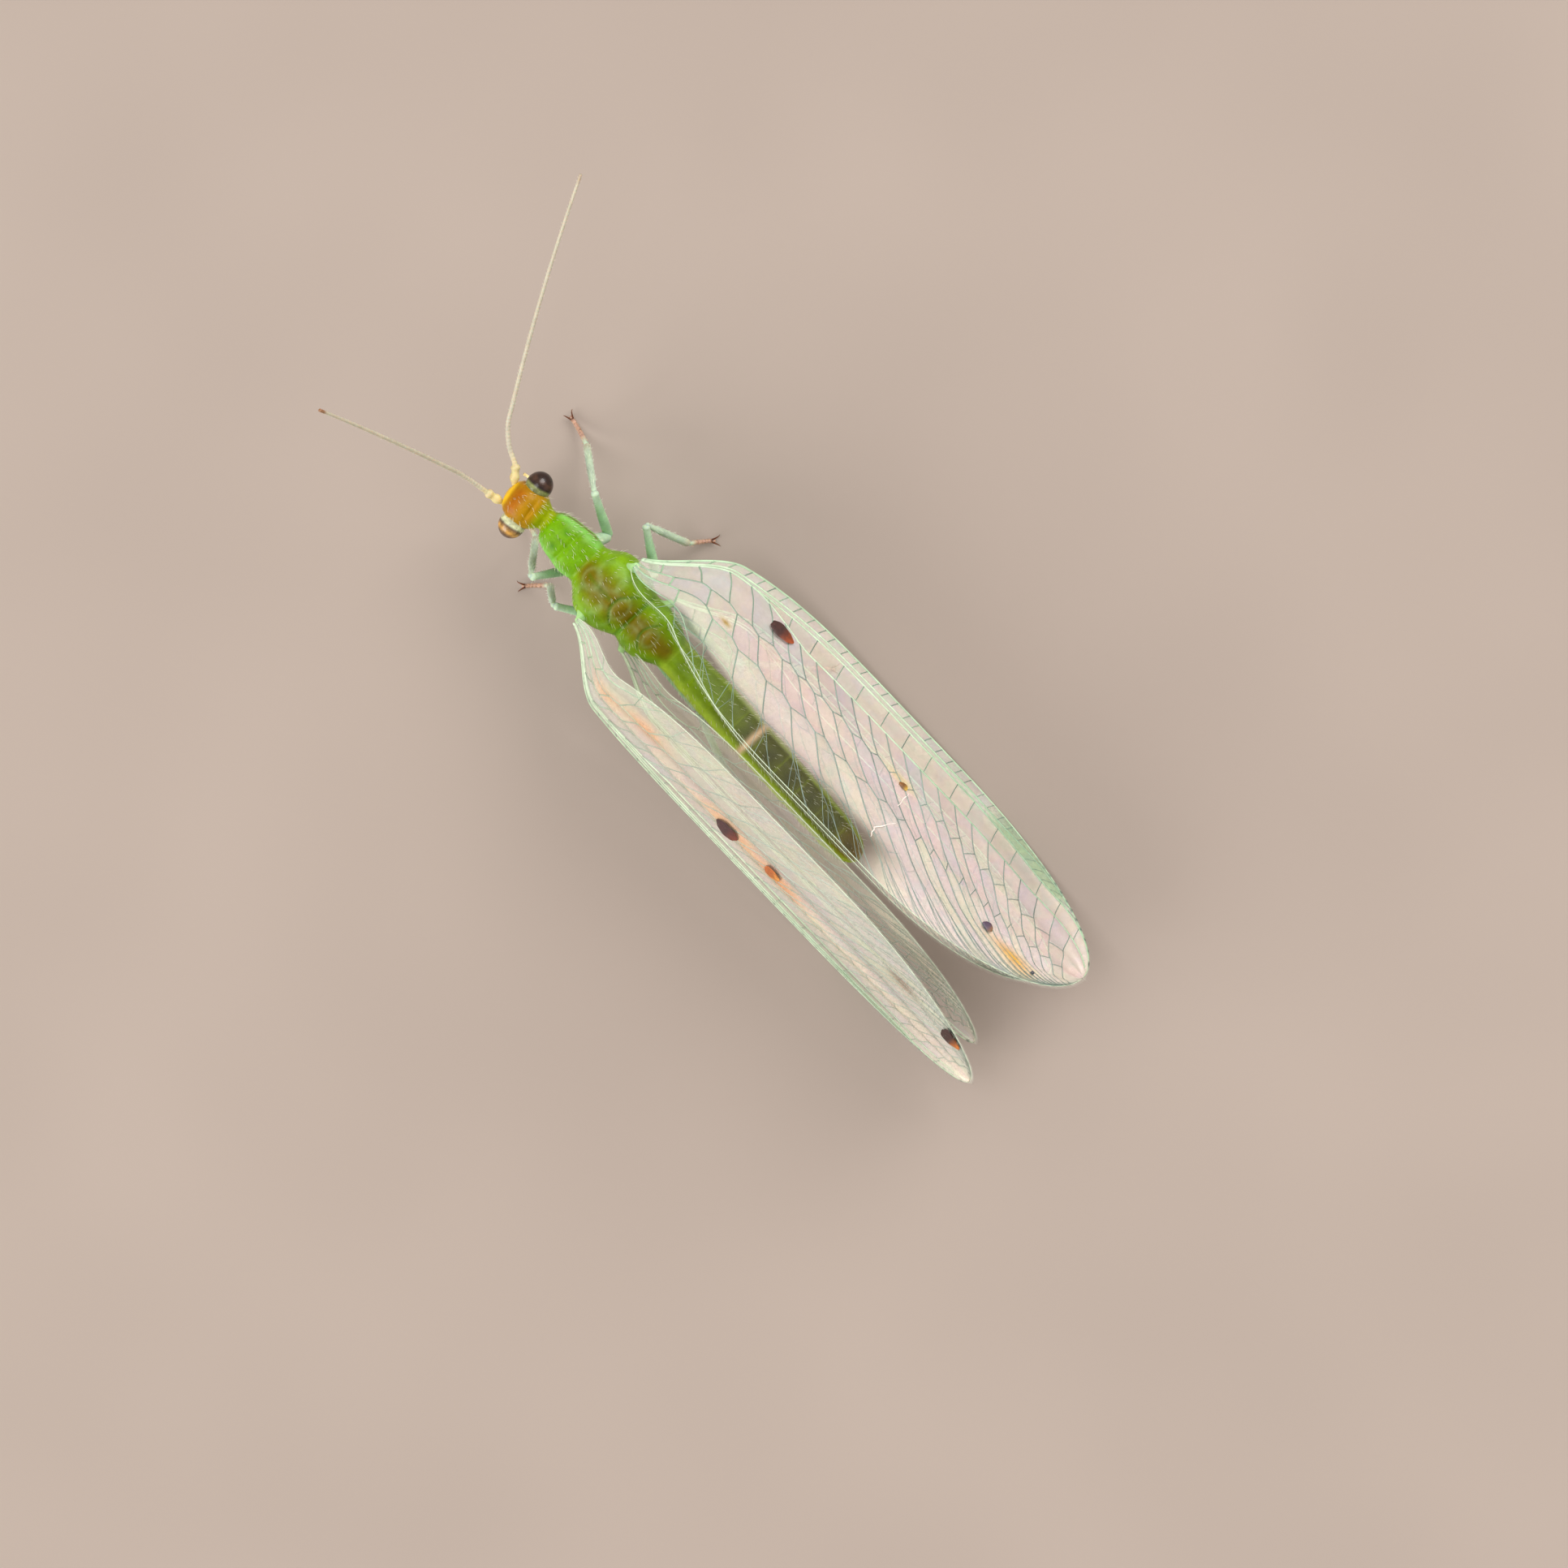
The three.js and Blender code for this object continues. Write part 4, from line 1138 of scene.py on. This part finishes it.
def branch_nodes(start, step, levels, draw):
    """The places (t, f) of a branch: its start, two joints on each level, its fork and its end.

    In the middle of the wing it steps along each level, which makes the cells there six-sided. Towards the
    tip it runs on straight, and the joints lie farther apart, so that the cross-veins make steps.
    """
    end = margin_end(start)
    top = float(sector(start))
    nodes = [(start, top)]
    shift = 0.0

    def along(f):
        """The share of the length at which the branch crosses f."""
        return start + (end - start) * ((f - top) / (1 - top)) ** 1.2

    for level in levels:
        far = float(smooth((along(level) - 0.45) / 0.3))
        gap = 0.014 + 0.02 * far
        for f in (level - gap, level + gap):
            stray = step * draw.uniform(-0.07, 0.07)
            nodes.append((along(f) + shift + stray, f + draw.uniform(-0.006, 0.006)))
            shift += 0.4 * step * (1 - far) * (f < level)
    fork = 0.8 - 0.05 * smooth((start - 0.3) / 0.3) + draw.uniform(-0.03, 0.03)
    nodes.append((along(fork) + shift, fork))
    nodes.append((along(1.0) + shift, 1.0))
    return np.array(nodes)


def refine(nodes):
    """A polyline with places added along its segments, as arrays t and f."""
    t, f = np.asarray(nodes, float).T
    length = np.concatenate([[0], np.cumsum(np.hypot(LENGTH_IN_WIDTHS * np.diff(t), np.diff(f)))])
    at = np.union1d(length, np.arange(0, length[-1], VEIN_STEP))
    return np.minimum(np.interp(at, length, t), VEIN_END), np.interp(at, length, f)


def forked(start, step, nodes, draw):
    """The end of a branch: two twigs from its fork to the margin, and on most branches a further twig
    that parts from each."""
    paths = []
    spread = margin_end(start + step) - margin_end(start)
    fork, end = nodes[5], nodes[6]
    for share in (-0.27, 0.24):
        tip = end + (share * spread, 0)
        paths.append(("fine", *refine([fork, tip])))
        if start > SECOND_FORK_FROM:
            split = fork + (tip - fork) * draw.uniform(0.35, 0.6)
            paths.append(("fine", *refine([split, tip + (0.23 * spread, 0)])))
    return paths


def plan_veins(name, draw):
    """All veins of a wing as (kind, t, f) paths, and what is needed to number its cells."""
    spec = VENATION[name]
    starts = np.linspace(*spec["span"], spec["branches"])
    step = starts[1] - starts[0]
    branches = [branch_nodes(start, step, spec["levels"], draw) for start in starts]
    paths = []
    for vein, begin, stop in ((subcosta, 0, 0.9), (radius, 0, 0.985), (sector, SECTOR_START, 0.99)):
        t = np.linspace(begin, stop, LONG_VEIN_STEPS)
        paths.append(("long", t, vein(t)))
    for start, nodes in zip(starts, branches):
        paths.append(("branch", *refine(nodes[:6])))
        paths += forked(start, step, nodes, draw)
    for nodes, following in zip(branches[:-1], branches[1:]):
        for joint in (2, 4):
            paths.append(("cross", *refine([nodes[joint], following[joint - 1]])))
    for k, level in enumerate(spec["levels"]):
        paths.append(("branch", *refine([(0.0, level), branches[0][2 * k + 1]])))
    paths.append(("branch", *refine([(0, 0.8), (0.08, 0.82), (0.17, 0.93), (0.2, 1.0)])))
    costal = np.linspace(*COSTAL_SPAN, spec["costal"]) + draw.uniform(-0.004, 0.004, spec["costal"])
    radial = np.linspace(*RADIAL_SPAN, spec["radial"]) + draw.uniform(-0.008, 0.008, spec["radial"])
    for start in costal:
        paths.append(("cross", *refine([(start + 0.006, 0.0), (start, subcosta(start))])))
    for start in radial:
        paths.append(("cross", *refine([(start, radius(start)), (start + 0.008, sector(start + 0.008))])))
    for start in np.linspace(*TIP_SPAN, TIP_VEINS):
        paths.append(("fine", *refine([(start, radius(start)), (min(start + 0.03, 0.99), 0.0)])))
    return paths, branches, costal, radial


def cell_numbers(t, f, branches, costal, radial):
    """A number for the cell at each (t, f): the cells a row may have for each row before it, and one more
    for each cross-vein passed."""
    rows = [subcosta(t), radius(t), sector(t)]
    for joint in (1, 3):
        joints = np.concatenate([nodes[joint : joint + 2] for nodes in branches])
        joints = joints[np.argsort(joints[:, 0])]
        rows.append(np.interp(t, joints[:, 0], joints[:, 1]))
    row = sum((f >= line).astype(int) for line in rows)
    passed = sum((t > np.interp(f, nodes[:, 1], nodes[:, 0])).astype(int) for nodes in branches)
    passed = np.where(row == 0, (t[..., None] > costal).sum(-1), passed)
    passed = np.where(row == 2, (t[..., None] > radial).sum(-1), passed)
    passed = np.where(row == 1, 0, passed)
    return row * CELLS_PER_ROW + passed


def wing_normals(wing, side, t, f):
    """The outward direction of the wing at (t, f), from two small steps across it."""
    step = 0.004
    ahead, behind = np.clip(t - step, 0, 0.999), np.clip(t + step, 0, 0.999)
    along = on_wing(wing, side, behind, f) - on_wing(wing, side, ahead, f)
    across = on_wing(wing, side, t, f + step) - on_wing(wing, side, t, f - step)
    n = unit(np.cross(along, across))
    return n * np.sign(n[..., :1] * side + 1e-9)


# Film: the colours of the cells in each row, from the costal edge to the hind margin, pale with pink, cream
# and green that are painted sheen, and how clear it is over the abdomen
FILM_TINTS_AND_PAINTED_SHEEN = [
    ["F6F9EF", "F9F6EF", "F2F8F0"],
    ["EEF8E8"],
    ["FDF8EA", "FAF7EA", "F7F5EF"],
    ["FAEDEA", "F6EDF2", "FCF4EC", "F1F1F5"],
    ["FDEAE4", "FAE8E9", "FBEFE6", "F4EBF2"],
    ["FAF3EC", "FAF8E8", "F8EFF0", "F6F6E4"],
]
CLEAR_SHARE = 0.96
# Casts over them: green at the wing roots, painted sheen on the left wings, green in the stigma and painted
# light on the hindwings' rear
ROOT_GREEN = "CDEAD8"
LEFT_PAINTED_SHEEN = "E2F1D8"
STIGMA_GREEN = "8FB58A"
HIND_PAINTED_LIGHT = "F6F2DE"
# Stains of the forewings' film: side, place behind the head and across the frame, half length, half width,
# colour and alpha
STAINS = [
    ("right", 16.8, 1.12, 0.8, 0.26, "DDB04A", 0.75),
    ("right", 11.6, 2.1, 0.5, 0.2, "EBD9A6", 0.5),
    ("right", 5.71, 1.56, 0.2, 0.11, "A98F48", 0.85),
    ("left", 12.0, -1.95, 6.0, 0.4, "F8EED2", 0.55),
    ("left", 15.4, -1.35, 0.6, 0.35, "9A7260", 0.6),
    ("left", 4.97, -1.9, 0.7, 0.5, "F2CBA4", 0.5),
    ("left", 6.36, -1.75, 0.8, 0.5, "F0BE8E", 0.5),
    ("left", 9.6, -1.9, 1.1, 0.5, "F0BE8E", 0.5),
    ("left", 11.4, -1.9, 0.9, 0.5, "EDB07C", 0.5),
]


def down_at(side, back, across_frame):
    """How far down the roof the place lies that shows at that place across the frame."""
    down = np.linspace(0, FOREWING_CHORD, 240)
    p = roof(WINGS["forewing"], side, back, down)
    seen = math.cos(VIEW_ROLL) * p[..., 0] - math.sin(VIEW_ROLL) * (p[..., 2] - FRAME_MIDDLE[2])
    order = np.argsort(seen)
    return float(np.interp(across_frame, seen[order], down[order]))


def over_abdomen(wing, side, t, f):
    """1 where the right wings' film lies over the abdomen and is clearest, fading to 0 round it."""
    back = wing["root"] + wing["length"] * t
    beyond = smooth((back - ABDOMEN_END + 0.3) / 1.6)
    return smooth((f - wing["clear_from"]) / 0.09) * (1 - beyond) * (side > 0)


def stained(tint, side_name, t, f):
    """The forewing's tint with its stains, each a bell along the wing times a bell down the roof."""
    wing = WINGS["forewing"]
    costa, hind = outline(wing["plan"], t)
    down = costa + (hind - costa) * f
    back = wing["root"] + wing["length"] * t
    for side, at_back, across, half_long, half_wide, code, alpha in STAINS:
        if side == side_name:
            middle = down_at(SIDES[side_name], at_back, across)
            weight = hump(back, at_back, half_long) * hump(down, middle, half_wide)
            tint = blend(tint, linear(code, alpha), weight)
    return tint


def film_tint(name, side_name, cells, t, f, draw):
    """Each cell's tint and alpha: pale, with pink, cream and green that are painted sheen, clearest over
    the abdomen, denser and green in the stigma.
    """
    wing = WINGS[name]
    table = np.ones((len(FILM_TINTS_AND_PAINTED_SHEEN) * CELLS_PER_ROW, 4))
    for row, codes in enumerate(FILM_TINTS_AND_PAINTED_SHEEN):
        choice = draw.integers(0, len(codes), CELLS_PER_ROW)
        first = CELLS_PER_ROW * row
        table[first : first + CELLS_PER_ROW] = np.array([linear(code) for code in codes])[choice]
    table[:, 3] = wing["alpha"] * draw.uniform(0.88, 1.12, len(table))
    tint = blend(table[cells], linear(ROOT_GREEN, wing["alpha"]), 0.45 * (1 - smooth(t / 0.3)))
    # Painted sheen: the left wings are drawn lighter and greener, as the steep film looks in glancing light
    if side_name == "left":
        tint = blend(tint, linear(LEFT_PAINTED_SHEEN, wing["alpha"]), 0.3)
    tint[..., 3] *= 1 - CLEAR_SHARE * over_abdomen(wing, SIDES[side_name], t, f)
    stigma = smooth((t - 0.66) / 0.08) * (1 - smooth((t - 0.87) / 0.05))
    stigma = stigma * (1 - smooth((f - radius(t)) / 0.02))
    tint = blend(tint, linear(STIGMA_GREEN, 0.6), 0.8 * stigma)
    if name == "forewing":
        return stained(tint, side_name, t, f)
    # Painted light: the hindwing's rear, in the forewing's shade, is drawn paler and denser so that it
    # looks lit
    rear = smooth((f - 0.7) / 0.15) * smooth((t - 0.6) / 0.15)
    return blend(tint, linear(HIND_PAINTED_LIGHT, 0.4), 0.7 * rear)


def add_membrane(name, side_name, plan, draw):
    """The film as two grids a few thousandths of a millimetre apart, joined round the edge. Its rows are
    closer towards the tip."""
    wing, side = WINGS[name], SIDES[side_name]
    rows, columns = wing["grid"]
    t = 1 - (1 - np.linspace(0, 1, rows)) ** 1.3
    t, f = np.meshgrid(t, np.linspace(0, 1, columns), indexing="ij")
    tint = film_tint(name, side_name, cell_numbers(t, f, *plan), t, f, draw)
    outer = on_wing(wing, side, t, f, WING_SKIN)
    inner = on_wing(wing, side, t, f, -WING_SKIN)
    points = np.concatenate([outer.reshape(-1, 3), inner.reshape(-1, 3)])
    face = grid_faces(rows, columns, False)
    half = rows * columns
    root = np.arange(columns - 1)
    tip = (rows - 1) * columns + root
    costal = np.arange(rows - 1) * columns
    hind = costal + columns - 1
    rim = [
        np.stack([root + 1, root, root + half, root + 1 + half], -1),
        np.stack([tip, tip + 1, tip + 1 + half, tip + half], -1),
        np.stack([costal, costal + columns, costal + columns + half, costal + half], -1),
        np.stack([hind + columns, hind, hind + half, hind + columns + half], -1),
    ]
    faces = [face, face[:, ::-1] + half, *rim]
    tints = np.concatenate([tint.reshape(-1, 4)] * 2)
    part = (points, faces, tints)
    piece(f"membrane_{name}_{side_name}", [part], MEMBRANE, [f"{name}_{side_name}"])


# Veins: their colours, those of their hairs, and the share of cream on each side, which is painted sheen on
# the left wings
VEIN_COLOURS = {
    "green": linear("9DC29A"),
    "pale": linear("C6D8BC"),
    "grey": linear("839A8E"),
    "dark": linear("61746C"),
    "point": linear("3F4A46"),
    "cream": linear("E8E6CC"),
}
VEIN_PAINTED_SHEEN_SHARE = {-1: 0.2, 1: 0.0}
VEIN_HAIR_GREY = linear("A9B8A8")
VEIN_HAIR_LENGTH = 0.12
FRINGE_GREY = linear("D6D8C8")
MARGIN_STEPS = 420
MARGIN_BEADS = 60


def vein_look(kind, t, f, draw):
    """The radius and the colour of a vein along its path: stout and green at the root, fine and grey on."""
    c = VEIN_COLOURS
    thin = 1 - 0.25 * smooth((t - 0.5) / 0.5)
    thick = VEIN_RADII[kind] * thin * (1 + 0.3 * (1 - smooth(t / 0.25)))
    base = np.broadcast_to(c["green"], (len(t), 4))
    if kind == "long":
        tint = blend(base, c["pale"], 0.7 * (1 - smooth((t - 0.45) / 0.2)))
        return thick, blend(tint, c["dark"], 0.45 * hump(t, 0.78, 0.14))
    tint = blend(base, c["grey"], smooth((t - 0.05) / 0.3))
    tint = blend(tint, c["green"], 0.5 * (1 - smooth((f - 0.2) / 0.15)))
    return thick, blend(tint, c["dark"], draw.uniform(0.2, 0.9) + 0.3 * smooth((t - 0.55) / 0.2))


def vein_parts(wing, side, paths, draw):
    """The veins as flattened tubes half sunk in the film, and the hairs that stand on them."""
    parts, roots, ways = [], [], []
    for kind, t, f in paths:
        path = on_wing(wing, side, t, np.clip(f, 0, 1))
        normal = wing_normals(wing, side, t, np.clip(f, 0.01, 0.99))
        thick, tint = vein_look(kind, t, f, draw)
        thick = thick * (1 - 0.45 * over_abdomen(wing, side, t, f))
        # Painted sheen: the left wings' veins are mixed towards cream
        tint = blend(tint, VEIN_COLOURS["cream"], np.full(len(t), VEIN_PAINTED_SHEEN_SHARE[side]))
        parts.append(tube_part(path, thick, sides=6, reference=normal, flat=0.8, tint=tint))
        spacing = np.linalg.norm(path[-1] - path[0]) / len(t)
        keep = np.arange(1, len(t) - 1, max(1, round(HAIR_SPACING / spacing)))
        keep = keep[over_abdomen(wing, side, t[keep], f[keep]) < 0.3]
        roots.append(path[keep] + normal[keep] * thick[keep, None] * 0.7)
        ways.append(normal[keep] + 0.7 * unit(np.gradient(path, axis=0))[keep])
    roots, ways = np.concatenate(roots), np.concatenate(ways)
    return parts, hairs_part(roots, ways, VEIN_HAIR_LENGTH, FINE_HAIR_RADIUS, tint=VEIN_HAIR_GREY)


def margin_line(wing, side):
    """The margin, out along the costal edge and back along the hind one: the share of the length at each
    place, 0 or 1 for the edge, and the place itself."""
    t = 1 - (1 - np.linspace(0, 1, MARGIN_STEPS)) ** 1.5
    t = np.concatenate([t, t[-2::-1]])
    at_hind = np.concatenate([np.zeros(MARGIN_STEPS), np.ones(MARGIN_STEPS - 1)])
    return t, at_hind, on_wing(wing, side, t, at_hind)


def margin_part(wing, side, t, at_hind, margin):
    """The margin's vein: stout and green in front, fine and pale behind, beaded towards the tip."""
    c = VEIN_COLOURS
    normal = wing_normals(wing, side, t, 0.01 + 0.98 * at_hind)
    thick = np.where(at_hind < 0.5, VEIN_RADII["costa"] * (1 - 0.5 * t), 0.7 * VEIN_RADII["fine"])
    tint = blend(np.broadcast_to(c["pale"], (len(t), 4)), c["green"], 0.7 * (1 - at_hind))
    # Painted sheen: the left wings' margin is mixed towards cream
    tint = blend(tint, c["cream"], np.full(len(t), VEIN_PAINTED_SHEEN_SHARE[side]))
    beads = hump(t * MARGIN_BEADS % 1, 0.5, 0.22) * smooth((t - 0.7) / 0.2) * (1 - 0.5 * at_hind)
    tint = blend(tint, c["point"], 0.95 * beads)
    return tube_part(margin, thick * (1 + 0.9 * beads), sides=6, reference=normal, flat=0.9, tint=tint)


def fringe_part(wing, side, t, at_hind, margin, draw):
    """Hairs that stand out from the margin and bend back, longer on the hind edge."""
    length = np.concatenate([[0], np.cumsum(np.linalg.norm(np.diff(margin, axis=0), axis=1))])
    at = np.arange(0.2, length[-1] - 0.2, FRINGE_SPACING)
    at = at + draw.uniform(-0.02, 0.02, len(at))
    foot = np.stack([np.interp(at, length, margin[:, k]) for k in range(3)], -1)
    behind = np.interp(at, length, at_hind)
    inside = on_wing(wing, side, np.interp(at, length, t) * 0.97, 0.1 + 0.8 * behind)
    ways = unit(foot - inside) + (0, 0.5, 0)
    lengths = (0.09 + 0.07 * behind) * draw.uniform(0.8, 1.15, len(at))
    points, faces, tint = hairs_part(foot, ways, lengths, FINE_HAIR_RADIUS, (0, 0.3, 0), FRINGE_GREY)
    return over_floor(points, FINE_HAIR_RADIUS), faces, tint


def add_veins(name, side_name, paths, draw):
    """The veins with the margin round them, and the hairs on them with the fringe."""
    wing, side = WINGS[name], SIDES[side_name]
    tubes, hairs = vein_parts(wing, side, paths, draw)
    line = margin_line(wing, side)
    tubes.append(margin_part(wing, side, *line))
    piece(f"veins_{name}_{side_name}", tubes, VEIN_CUTICLE)
    fringe = fringe_part(wing, side, *line, draw)
    piece(f"wing_hairs_{name}_{side_name}", [hairs, fringe], HAIR)


def add_wings():
    """A film, its veins and its hairs for each wing. Left and right have the same plan of veins."""
    for index, name in enumerate(WINGS):
        for side_name in SIDES:
            draw = np.random.default_rng(WING_SEED + index)
            paths, *plan = plan_veins(name, draw)
            add_membrane(name, side_name, plan, draw)
            add_veins(name, side_name, paths, draw)


add_wings()

# Marks on the forewings: side, place behind the head and across the frame, half length, half width, and
# the colours of their front and rear
MARKS = {
    "red": ("right", 6.83, 2.4, 0.38, 0.24, "3A1D1A", "8E3E14"),
    "tan": ("right", 11.77, 2.01, 0.14, 0.1, "7A4E1C", "C9A23C"),
    "dark": ("right", 15.79, 1.17, 0.16, 0.13, "4A3B4E", "7C5A3A"),
    "point": ("right", 17.41, 1.2, 0.05, 0.05, "3A3A44", "3A3A44"),
    "edge": ("left", 9.56, -1.95, 0.36, 0.45, "3A1A1E", "6E2A16"),
    "orange": ("left", 11.13, -1.85, 0.26, 0.3, "A4561E", "D08A3C"),
    "brown": ("left", 17.25, -1.36, 0.34, 0.36, "2C0F0A", "B8641A"),
}
MARK_GRID = (32, 72)
# Creases of the right forewing, as places behind the head and across the frame; their pale colour is a
# painted highlight
CREASES = [[(11.99, 2.04), (12.03, 1.57)], [(12.12, 0.55), (12.02, 0.78), (12.33, 1.29)]]
CREASE_RADIUS = 0.014
CREASE_STEPS = 12
CREASE_PAINTED_GLINT = linear("EFE2DA")


def mark_part(side_name, back, across_frame, half_long, half_wide, dark, light):
    """A flat cake of dry pigment on the outer face: rings from its top to its underside, each an ellipse
    whose radius two sines make ragged."""
    side, wing = SIDES[side_name], WINGS["forewing"]
    middle = down_at(side, back, across_frame)
    rows, columns = MARK_GRID
    from_top = np.linspace(0.05, np.pi - 0.05, rows)
    turn = 2 * np.pi * np.arange(columns) / columns
    from_top, turn = np.meshgrid(from_top, turn, indexing="ij")
    ragged = 1 + 0.07 * np.sin(3 * turn + 3 * back) + 0.03 * np.sin(7 * turn + back)
    behind = back + half_long * np.sin(from_top) * np.cos(turn) * ragged
    costa, hind = outline(wing["plan"], (behind - FOREWING_ROOT) / wing["length"])
    down = middle + half_wide * np.sin(from_top) * np.sin(turn) * ragged
    down = np.clip(down, hind + 0.05, costa - 0.05)
    points = roof(wing, side, behind, down, 0.03 + 0.025 * (1 + np.cos(from_top)))
    rear = smooth((np.sin(from_top) * np.cos(turn) + 0.1) / 1.1)
    tint = blend(np.broadcast_to(linear(dark), from_top.shape + (4,)), linear(light), rear)
    return rings_part(points, tint)


def crease_part(places):
    """A flat, slightly wavy ridge through the places, where the film is folded and catches the light. That
    light is painted, as a pale cream tint.
    """
    wing = WINGS["forewing"]
    knots = [roof(wing, 1, back, down_at(1, back, across), 0.02) for back, across in places]
    path = np.concatenate([rod(a, b, CREASE_STEPS) for a, b in zip(knots[:-1], knots[1:])])
    path = path + 0.012 * np.sin(np.arange(len(path)) * 0.9)[:, None] * (0.5, 1, 0)
    thick = CREASE_RADIUS * rounded(np.linspace(0, 1, len(path)), 0.3)
    return tube_part(path, thick, sides=8, reference=(1, 0, 0.6), flat=0.4, tint=CREASE_PAINTED_GLINT)


def add_marks():
    """The marks, and the creases of the right forewing."""
    for name, mark in MARKS.items():
        piece("mark_" + name, [mark_part(*mark)], PIGMENT)
    piece("wing_creases", [crease_part(places) for places in CREASES], VEIN_CUTICLE)


add_marks()


# Hairs of the body: how many grow on the head and thorax and on the abdomen, and between which places
HAIRS_AHEAD = (800, -0.3, 5.2)
HAIRS_BEHIND = (700, 5.6, 12.2)
HAIR_CREAM = linear("E8EACB")


def add_body_hairs():
    """Fine pale hairs at random places of the skin. Each stands square to the skin and leans back."""
    count = HAIRS_AHEAD[0] + HAIRS_BEHIND[0]
    back = [rng.uniform(first, last, number) for number, first, last in (HAIRS_AHEAD, HAIRS_BEHIND)]
    back = np.concatenate(back)
    turn = rng.uniform(0, 2 * np.pi, count)
    step = 0.01
    roots = body_surface(back, turn)[0]
    along = body_surface(back + step, turn)[0] - body_surface(back - step, turn)[0]
    across = body_surface(back, turn + step)[0] - body_surface(back, turn - step)[0]
    normal = unit(np.cross(along, across))
    inside = np.stack([0 * back, back, np.full(count, BODY_HEIGHT)], -1)
    normal = normal * np.sign(((roots - inside) * normal).sum(-1, keepdims=True))
    lengths = rng.uniform(0.1, 0.2, count)
    ways = normal + (0, 0.8, 0)
    part = hairs_part(roots - 0.01 * normal, ways, lengths, HAIR_RADIUS, (0, 0.3, 0), HAIR_CREAM)
    piece("hairs_body", [part], HAIR)


add_body_hairs()


# Floor and light: half width of the floor, and place, power and colour of each disc, in metres and watts
FLOOR_HALF = 0.6
FLOOR_BEIGE = linear("9C8F86")
LIGHT_SIZE = 0.8
LIGHTS = {
    "right": ((1.0, 0.12, 0.58), 12.6, (1.0, 0.98, 0.95)),
    "left": ((-0.98, 0.24, 0.46), 10.8, (1.0, 0.99, 0.97)),
    "above": ((-0.12, 0.32, 1.28), 6.5, (0.98, 0.98, 1.0)),
}
SKY_COLOUR = linear("F3EEE8")
SKY_STRENGTH = 0.74
FILM_CROSSINGS = 32


def add_floor():
    """A wide floor of matt paper in a warm pale beige, with a faint mottling."""
    half = FLOOR_HALF
    mesh = bpy.data.meshes.new("floor")
    corners = [(-half, -half, 0), (half, -half, 0), (half, half, 0), (-half, half, 0)]
    mesh.from_pydata(corners, [], [(0, 1, 2, 3)])
    material, tree, surface, place = new_material("matt paper")
    colour = mottled(tree, FLOOR_BEIGE, blobs(place, 9.0, detail=1), dark=0.97, light=1.03)
    set_inputs(tree, surface, {"Base Color": colour, "Roughness": 0.9, "Specular IOR Level": 0.15})
    mesh.materials.append(material)
    floor = bpy.data.objects.new("floor", mesh)
    bpy.context.scene.collection.objects.link(floor)


def add_lights():
    """A broad soft disc on each side, square to the roof of wings, one above, and a pale sky. Each disc
    looks at the insect. A ray may cross as many faces of film as it needs."""
    scene = bpy.context.scene
    for name, (place, power, colour) in LIGHTS.items():
        data = bpy.data.lights.new(name, "AREA")
        data.shape = "DISK"
        data.size = LIGHT_SIZE
        data.energy = power
        data.color = colour
        light = bpy.data.objects.new(name, data)
        scene.collection.objects.link(light)
        light.location = place
        light.rotation_euler = Vector(-np.array(place)).to_track_quat("-Z", "Y").to_euler()
    world = bpy.data.worlds.new("world")
    world.use_nodes = True
    background = world.node_tree.nodes["Background"]
    set_inputs(world.node_tree, background, {"Color": SKY_COLOUR, "Strength": SKY_STRENGTH})
    scene.world = world
    scene.view_settings.view_transform = "Standard"
    scene.cycles.transparent_max_bounces = FILM_CROSSINGS


add_floor()
add_lights()
